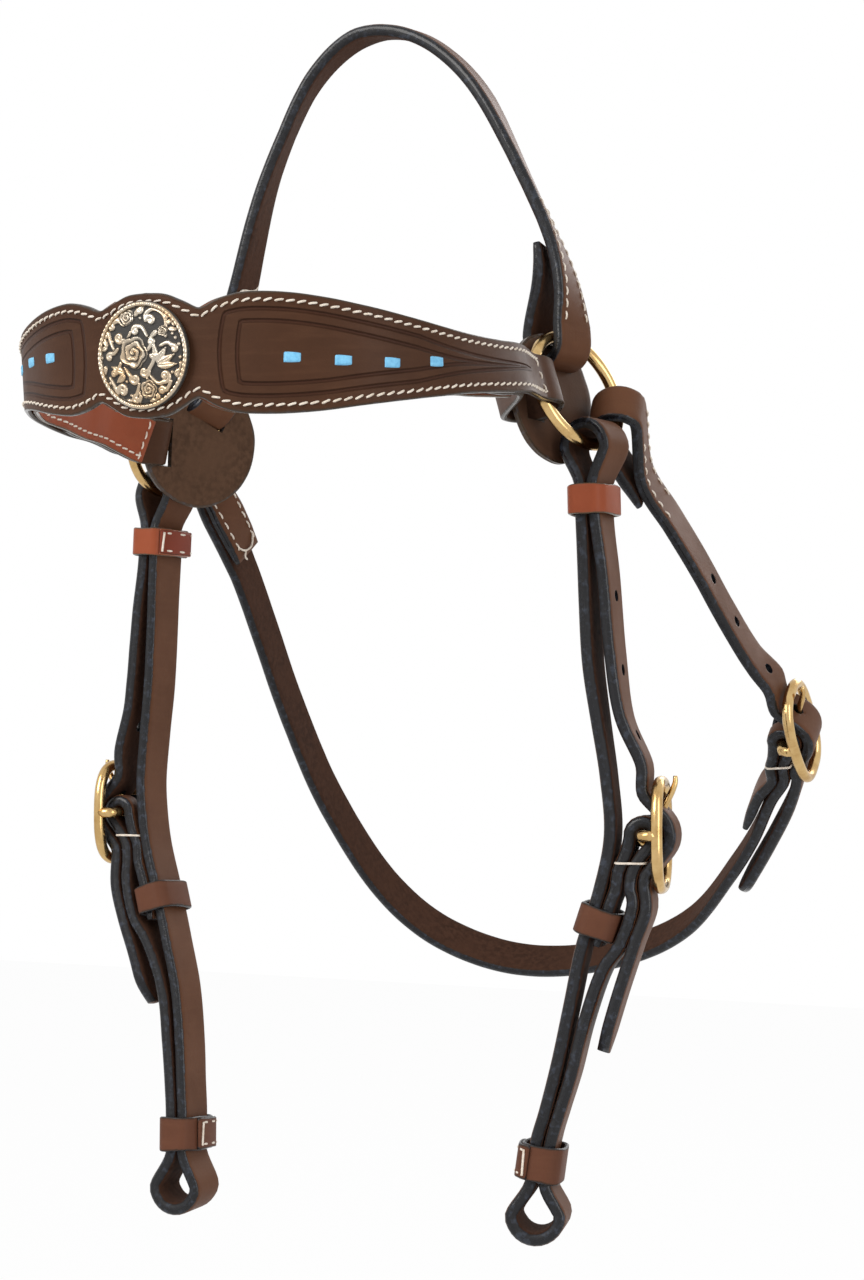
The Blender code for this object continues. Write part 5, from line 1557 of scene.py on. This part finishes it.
def sewHeadpiece(crown, brow, browRun, lining, heights):
    inset, end, lift = browSewing["inset"], browSewing["end"], browSewing["lift"]
    rows = [rowLine(brow, browRun, -end, end, lambda at, sign=sign: sign * (halfHeight(at) - inset), lift)
            for sign in (1, -1)]
    ends = [crossLine(brow, browRun, at, halfHeight(at) - inset - 1.5, lift) for at in (-end, end)]
    stitches = [sew("brow_rows", rows, "browband", 3), sew("brow_ends", ends, "lining", 5)]

    run = runOf(crown)
    middle = min(zip(run, crown), key=lambda pair: abs(pair[1][0].x) + (0 if pair[1][0].z > -60 else 999))[0]
    run = [value - middle for value in run]
    rows = [rowLine(crown, run, *row, x, strapLift) for row in crownRows for x in (-6.4, 6.4)]
    stitches.append(sew("crown_rows", rows, "strap", 7))
    stitches += crownTies(crown, run)

    run = runOf(lining)
    inset, lift, cross = liningSewing["inset"], liningSewing["lift"], liningSewing["cross"]

    def edge(distance):
        return heights[round(distance / run[-1] * (len(heights) - 1))] - inset

    rows = [rowLine(lining, run, liningSewing["start"], liningSewing["end"], lambda at: -edge(at), lift),
            crossLine(lining, run, cross, edge(cross), lift)]
    stitches.append(sew("lining_rows", rows, "lining", 13))
    finish(joined("headpiece_stitches", stitches), "headpiece_and_browband", "thread")


tiePlaces = {"near": (10.0, 0.05), "far": (10.5, 0.1), "throat": (11.0, 0.08)}


def chapeTie(side):
    # Thread wound round the two layers of the fold just under its buckle.
    place = buckleFrame(side)
    below, tilt = tiePlaces[side]
    low, high = (readTable([(b, -x) for x, b in leg], below) for leg in (chapeInner, chapeOuter))
    x0, x1 = low - strapThick / 2 - 0.1, high + strapThick / 2 + 0.35
    y = halfStrap + 0.3
    bend = 1.6
    loop = []
    for cx, cy, start in ((x1 - bend, y - bend, 0), (x0 + bend, y - bend, 90), (x0 + bend, bend - y, 180),
                          (x1 - bend, bend - y, 270)):
        loop += arc((cx, cy), bend, start, start + 90, 5)
    points = [(place @ (Vector((px, py, -below + py * tilt)) * mm)) / mm for px, py in loop]
    return strand(side + "_tie", points, 0.45, closed=True)


# Rows of the throatlash as (start, end, offset), those of the strap counted from its end
billetRows = ((66.0, 103.0, 6.3), (74.0, 107.0, -6.3))
throatRows = ((-38.0, -6.0, 6.2), (-37.0, -7.0, -6.2))
throatForks = ((0.45, ((-6.2, -1.5), (-3.0, 2.0), (2.5, 2.6), (6.2, -1.5))),
               (0.42, ((-3.0, 2.0), (-5.2, 3.4), (-4.6, 5.2))))


def sewThroatlash(billet, strap):
    run = runOf(strap)
    rows = [rowLine(billet, runOf(billet), start, end, x, strapLift) for start, end, x in billetRows]
    rows += [rowLine(strap, run, run[-1] + start, run[-1] + end, x, strapLift)
             for start, end, x in throatRows]
    stitches = [sew("throat_rows", rows, "strap", 11)]
    centre, across, out = placeAt(strap, run, run[-1] - 4.5)
    travel = across.cross(out)
    if travel.dot(strap[-1][0] - centre) < 0:
        travel = -travel
    over = out * (strapThick / 2 + 0.15)
    for radius, fork in throatForks:
        line = [centre + (across * x + travel * t + over) for x, t in fork]
        stitches.append(strand("throat_fork", softLine(line), radius))
    finish(joined("throatlash_stitches", stitches + [chapeTie("throat")]), "throatlash", "thread")


sewingTree = stitchTree()
sewHeadpiece(squareUp(headRoute), browStations, browRun, lining, liningHeights)
sewThroatlash(squareUp(billet), squareUp(throatStrip))
for side in sideSigns:
    finish(joined(f"cheek_stitches_{side}", [chapeTie(side)]), "cheek_" + side, "thread")
print("stitches made")


# Lace blocks set in the browband's panels, as (distance from the middle, offset)

laceBlocks = [(52.0, -1.5), (68.8, -2.0), (85.6, -2.0), (103.2, -0.6),
              (-47.6, 1.4), (-64.2, 1.6), (-81.0, 1.6), (-98.0, 0.8)]
laceLook = {"long": 6.2, "high": 3.9, "proud": 0.35, "thick": 0.5, "columns": 10, "rows": 7}


def laceBlock(distance, offset):
    centre, across, out = placeAt(browStations, browRun, distance)
    travel = across.cross(out).normalized()
    if travel.x < 0:
        travel = -travel
    middle = centre + across * offset + out * faceThick / 2
    columns, rows = laceLook["columns"], laceLook["rows"]
    verts = []
    for j in range(rows + 1):
        for i in range(columns + 1):
            u, v = 2 * i / columns - 1, 2 * j / rows - 1
            bulge = laceLook["proud"] * (1 - abs(u) ** 6) * (1 - abs(v) ** 6) + 0.1
            high = v * (1 - 0.10 * u * u * abs(v)) - 0.075 * u * v
            place = middle + travel * (u * laceLook["long"] / 2) + across * (high * laceLook["high"] / 2)
            verts.append(worldPoint(place + out * (bulge if abs(u) < 1 and abs(v) < 1 else -0.3)))
    faces = []
    for j in range(rows):
        for a in range(j * (columns + 1), j * (columns + 1) + columns):
            faces.append((a, a + 1, a + columns + 2, a + columns + 1))
    block = meshFrom("lace_block", verts, faces)
    block.data.materials.append(lace)
    depth = block.modifiers.new("depth", "SOLIDIFY")
    depth.thickness = laceLook["thick"] * mm
    depth.offset = -1.0 if across.cross(travel).dot(out) < 0 else 1.0
    block = applied(block)
    tidyNormals(block)
    return block


finish(joined("browband_lace", [laceBlock(*row) for row in laceBlocks]), "headpiece_and_browband", "lace")


# Concho, a domed disc whose roses, scrolls and leaves stand up from a dark ground

conchoArt = {
    "ground": 2.35, "bow": 1.05, "relief": 1.05, "rimInset": 1.05, "rimHalf": 0.95, "rimTop": 2.55,
    "ropeTurns": 66, "line": 0.04, "rings": 96, "turns": 360,
    "roses": [(-0.15, 0.05, 0.31, 10.0), (-0.28, 0.72, 0.155, 40.0), (0.13, -0.64, 0.18, 70.0),
              (0.50, 0.40, 0.10, 0.0)],
    # Curls as (centre x, y, radius, first angle, turns, tail points), in shares of the disc's radius
    "curls": [
        (-0.15, -0.42, 0.105, 150.0, 1.2, [(-0.36, -0.16), (-0.30, -0.32)]),
        (0.07, -0.31, 0.10, 20.0, -1.2, [(0.30, 0.16), (0.30, -0.12)]),
        (-0.45, -0.62, 0.12, 200.0, -1.25, [(-0.72, -0.36), (-0.64, -0.50)]),
        (0.50, -0.42, 0.11, 250.0, 1.2, [(0.20, -0.40), (0.34, -0.56)]),
        (0.24, 0.62, 0.10, 180.0, -1.1, [(0.56, 0.30), (0.58, 0.66), (0.34, 0.86), (0.12, 0.76)]),
        (-0.09, 0.46, 0.085, 60.0, 1.1, [(0.16, 0.34), (0.06, 0.52)]),
        (-0.46, 0.36, 0.10, 330.0, -1.2, [(-0.20, 0.44), (-0.30, 0.26)]),
        (-0.62, 0.58, 0.08, 60.0, 1.1, [(-0.36, 0.58), (-0.50, 0.70)]),
        (-0.16, -0.80, 0.075, 90.0, 1.1, [(-0.06, -0.52), (-0.12, -0.68)]),
        (0.42, -0.68, 0.07, 0.0, 1.1, [(0.62, -0.52), (0.56, -0.62)]),
        (0.72, 0.06, 0.07, 120.0, -1.0, [(0.44, 0.14), (0.60, 0.20)]),
        (-0.70, 0.02, 0.07, 60.0, 1.0, [(-0.50, 0.16), (-0.58, 0.08)]),
        (0.02, 0.84, 0.06, 200.0, 1.0, [(0.26, 0.90), (0.14, 0.94)]),
        (0.56, 0.68, 0.06, 90.0, -1.0, [(0.74, 0.50), (0.70, 0.62)]),
        (-0.76, 0.42, 0.06, 10.0, 1.0, [(-0.60, 0.16), (-0.66, 0.28)]),
        (-0.62, -0.30, 0.055, 10.0, 1.0, [(-0.44, -0.10), (-0.50, -0.20)]),
        (0.22, -0.86, 0.055, 120.0, 1.0, [(0.44, -0.84), (0.34, -0.92)]),
        (-0.34, -0.86, 0.055, 60.0, -1.0, [(-0.52, -0.78), (-0.46, -0.84)]),
        (0.78, -0.40, 0.055, 90.0, 1.0, [(0.84, -0.20), (0.86, -0.32)]),
        (0.24, 0.22, 0.055, 0.0, 1.0, [(0.14, 0.06), (0.20, 0.12)]),
        (0.28, -0.02, 0.05, 180.0, 1.0, [(0.46, 0.02), (0.38, -0.04)]),
    ],
    # Leaves as (foot x, y, tip x, y, half width)
    "leaves": [
        (0.36, -0.20, 0.72, -0.04, 0.085), (0.36, -0.22, 0.76, -0.22, 0.080),
        (0.34, -0.16, 0.56, 0.10, 0.075), (0.32, -0.12, 0.34, 0.12, 0.060),
        (-0.38, -0.30, -0.66, -0.16, 0.075), (-0.38, -0.34, -0.56, -0.46, 0.075),
        (-0.74, 0.22, -0.86, 0.40, 0.055), (-0.76, 0.20, -0.90, 0.16, 0.050),
        (-0.80, -0.14, -0.86, -0.32, 0.055),
        (0.38, 0.42, 0.22, 0.30, 0.055), (-0.10, 0.72, 0.02, 0.90, 0.055), (-0.44, 0.72, -0.56, 0.62, 0.050),
        (0.30, -0.72, 0.34, -0.86, 0.050), (-0.02, -0.62, -0.10, -0.90, 0.045),
        (0.62, 0.44, 0.80, 0.40, 0.050),
        (0.60, 0.52, 0.70, 0.62, 0.045),
    ],
    "beads": [(0.76, 0.26, 0.035), (0.83, 0.14, 0.035), (0.70, 0.34, 0.03), (-0.10, 0.28, 0.03),
              (-0.42, 0.0, 0.035), (0.02, 0.68, 0.03), (-0.34, -0.46, 0.03), (0.66, -0.36, 0.035),
              (-0.62, 0.30, 0.03), (0.12, -0.44, 0.028), (-0.26, -0.72, 0.03), (0.84, -0.10, 0.035),
              (-0.88, 0.02, 0.03), (-0.72, -0.46, 0.03)],
}


def ridge(x, y, line):
    # Height, 0 to 1, of a rounded stroke along points given as (x, y, half width).
    best = np.zeros_like(x)
    for (ax, ay, aw), (bx, by, bw) in zip(line, line[1:]):
        dx, dy = bx - ax, by - ay
        share = np.clip(((x - ax) * dx + (y - ay) * dy) / (dx * dx + dy * dy + 1e-9), 0.0, 1.0)
        wide = aw + (bw - aw) * share
        best = np.maximum(best, 1 - ((x - ax - dx * share) ** 2 + (y - ay - dy * share) ** 2) / wide ** 2)
    return np.sqrt(best)


def curlLine(curl):
    # Stroke of a curl, from its tail by its winding to the bead in its middle.
    cx, cy, size, first, turns, tail = curl
    steps = int(abs(turns) * 16)
    wind = []
    for i in range(steps + 1):
        a = radians(first + 360 * turns * (i / steps))
        r = size * (1 - 0.82 * (i / steps))
        wind.append((cx + cos(a) * r, cy + sin(a) * r))
    points = softLine([Vector((*p, 0.0)) for p in tail + wind[:2]], 3)[:-1]
    points = [(p.x, p.y) for p in points] + wind[1:]
    wide = conchoArt["line"]
    last = len(points) - 1
    stroke = [(px, py, wide * (0.7 + 0.5 * sin(pi * i / last))) for i, (px, py) in enumerate(points)]
    return stroke + [(cx, cy, wide * 1.25)]


def rose(x, y, cx, cy, size, first):
    # Petals wound round the middle, each rising outwards to a sharp rim.
    span = np.hypot(x - cx, y - cy) / size
    turn = np.arctan2(y - cy, x - cx) + radians(first)
    rim = 0.84 + 0.16 * np.abs(np.cos(turn * 2.5)) ** 0.6
    wind = (span * 2.7 + 0.26 * np.cos(turn * 5 + span * 4) * span + turn / (2 * pi)) % 1.0
    petals = (1 - 0.3 * span) * (0.12 + 0.88 * np.clip(wind * 1.35, 0, 1) ** 1.6)
    return np.where(span < rim, petals, 0.0)


def leaf(x, y, x0, y0, x1, y1, wide):
    line = []
    for k in range(9):
        share = k / 8
        half = max(wide * sin(pi * share ** 0.75), 0.01)
        line.append((x0 + (x1 - x0) * k / 8, y0 + (y1 - y0) * k / 8, half))
    vein = ridge(x, y, [(px, py, 0.014) for px, py, _ in line[:-1]])
    return ridge(x, y, line) * (1 - 0.4 * vein)


def bead(x, y, cx, cy, size):
    return np.sqrt(np.clip(1 - ((x - cx) ** 2 + (y - cy) ** 2) / size ** 2, 0, None))


def conchoReliefAt(x, y):
    # Height of the pattern, 0 to 1, at places in shares of the disc's radius.
    art = np.zeros_like(x)
    for curl in conchoArt["curls"]:
        art = np.maximum(art, 0.85 * ridge(x, y, curlLine(curl)))
    for values in conchoArt["leaves"]:
        art = np.maximum(art, 0.9 * leaf(x, y, *values))
    for values in conchoArt["beads"]:
        art = np.maximum(art, 0.8 * bead(x, y, *values))
    for values in conchoArt["roses"]:
        inside = np.hypot(x - values[0], y - values[1]) < values[2] * 1.04
        art = np.where(inside, rose(x, y, *values), art)
    return art


def makeConcho():
    radius, rings, turns = conchoRadius, conchoArt["rings"], conchoArt["turns"]
    shares = (np.arange(1, rings + 1) / rings) ** 0.9
    angles = np.arange(turns) * 2 * pi / turns
    span, turn = (grid.ravel() for grid in np.meshgrid(shares, angles, indexing="ij"))
    x, y = span * np.cos(turn), span * np.sin(turn)
    distance = span * radius
    art = np.where(distance < radius - 2 * conchoArt["rimInset"], conchoReliefAt(x, y), 0.0)
    ground = conchoArt["ground"] - conchoArt["bow"] * (distance / radius) ** 2
    fromRim = (distance - (radius - conchoArt["rimInset"])) / conchoArt["rimHalf"]
    rope = 0.94 + 0.06 * np.cos(conchoArt["ropeTurns"] * turn + fromRim * 1.6)
    rim = conchoArt["rimTop"] * np.sqrt(np.clip(1 - fromRim ** 2 * 0.75, 0, None)) * rope
    onRim = np.abs(fromRim) < 1.1
    height = np.where(onRim, np.maximum(rim, ground * 0.55), ground + art * conchoArt["relief"])
    bright = np.clip(1.0 - 0.9 * np.abs(fromRim + 0.1) ** 3, 0, 1) * (rope - 0.5) * 1.9
    verts = [(0.0, 0.0, conchoArt["ground"] + conchoArt["relief"] * 0.35)]
    verts += list(zip(x * radius, y * radius, height))
    values = [0.5] + list(np.where(onRim, bright, art))
    faces = [(0, 1 + j, 1 + (j + 1) % turns) for j in range(turns)]
    last = 1
    for _ in range(rings - 1):
        faces += [(a, d, c, b) for a, b, c, d in band(last, last + turns, turns)]
        last += turns
    # The skirt, the flat back, and the post in one run of rings
    post = conchoPost / 2
    nutFace = -(faceThick + liningThick + 2 * gapSize) - nutThick
    for r, z in ((radius - 0.25, 0.0), (post, 0.0), (post, nutFace - 0.3), (post - 0.4, nutFace - 0.5)):
        faces += [(a, d, c, b) for a, b, c, d in band(last, len(verts), turns)]
        last = len(verts)
        verts += [(r * cos(2 * pi * j / turns), r * sin(2 * pi * j / turns), z) for j in range(turns)]
    values += [0.3] * (4 * turns)
    faces.append(tuple(last + j for j in range(turns - 1, -1, -1)))
    place = Matrix.Translation(toOrigin * mm) @ conchoFrame()
    verts = [place @ (Vector(v) * mm) for v in verts]
    obj = solidFrom("concho_relief", verts, faces, silver, {"raised": values})
    finish(obj, "headpiece_and_browband", "antique_silver", "concho")


makeConcho()
print("lace and concho made")


# Camera, light and surroundings

def lookAt(obj, target):
    direction = Vector(target) - obj.location
    obj.rotation_euler = direction.to_track_quat("-Z", "Y").to_euler()


def makeCamera():
    data = bpy.data.cameras.new("camera")
    camera = linked(bpy.data.objects.new("camera", data))
    data.sensor_fit = "VERTICAL"
    data.sensor_height = 36.0
    data.lens = 59.5
    data.clip_start = 0.01
    camera.location = (0.4080, -0.7443, -0.2905)
    lookAt(camera, (0.0, 0.0565, -0.2434))
    bpy.context.scene.camera = camera


def areaLight(name, place, target, size, power, tint=(1.0, 1.0, 1.0)):
    data = bpy.data.lights.new(name, "AREA")
    data.shape = "RECTANGLE"
    data.size, data.size_y = size
    data.energy = power
    data.color = tint
    lamp = linked(bpy.data.objects.new(name, data))
    lamp.location = place
    lookAt(lamp, target)


def seenDirectly(g):
    # 1 for rays from the camera and those by way of metal or glass.
    path = g.add("ShaderNodeLightPath").outputs
    mirrored = g.math("MAXIMUM", path["Is Glossy Ray"], path["Is Transmission Ray"])
    return g.math("MAXIMUM", path["Is Camera Ray"], mirrored)


def makeWorld():
    world = bpy.data.worlds.new("studio")
    bpy.context.scene.world = world
    world.use_nodes = True
    g = Graph(world.node_tree)
    g.nodes.clear()
    place = g.add("ShaderNodeTexCoord").outputs["Generated"]
    height = g.add("ShaderNodeSeparateXYZ", {}, {"Vector": place}).outputs[2]
    glow = g.mix(g.ramp(height, -0.6, 0.8), colour(120, 118, 116), colour(232, 232, 234))
    room = g.add("ShaderNodeBackground", {}, {"Color": glow, "Strength": 0.75})
    seen = g.add("ShaderNodeBackground", {}, {"Color": (1.0, 1.0, 1.0, 1.0), "Strength": 1.0})
    both = g.add("ShaderNodeMixShader", {}, {0: seenDirectly(g), 1: room.outputs[0], 2: seen.outputs[0]})
    g.add("ShaderNodeOutputWorld", {}, {"Surface": both.outputs[0]})


def makeFloor():
    reach, down = 3.0, -0.75
    verts = [(x * reach, y * reach, down) for x, y in ((-1, -1), (1, -1), (1, 1), (-1, 1))]
    floor = meshFrom("floor", verts, [(0, 1, 2, 3)])
    mat = material("pale floor", lambda g: {"Base Color": (0.8, 0.8, 0.8, 1.0), "Roughness": 0.9})
    g = Graph(mat.node_tree)
    glow = g.add("ShaderNodeEmission", {}, {"Color": (1.0, 1.0, 1.0, 1.0), "Strength": 1.0})
    shader = g.nodes["Principled BSDF"].outputs[0]
    share = g.times(seenDirectly(g), 0.96)
    both = g.add("ShaderNodeMixShader", {}, {0: share, 1: shader, 2: glow.outputs[0]})
    g.put(g.nodes["Material Output"].inputs["Surface"], both.outputs[0])
    floor.data.materials.append(mat)


makeCamera()
makeWorld()
makeFloor()
areaLight("key", (-0.5, -1.3, 0.55), (0.0, 0.0, -0.25), (0.9, 0.9), 17.0, (1.0, 0.98, 0.95))
areaLight("fill", (1.5, -0.7, 0.1), (0.0, 0.0, -0.25), (0.7, 1.4), 9.0)
areaLight("back", (0.3, 1.5, 0.6), (0.0, 0.0, -0.2), (1.2, 0.8), 9.0)
bpy.context.scene.view_settings.view_transform = "Standard"
print("camera and lights made")
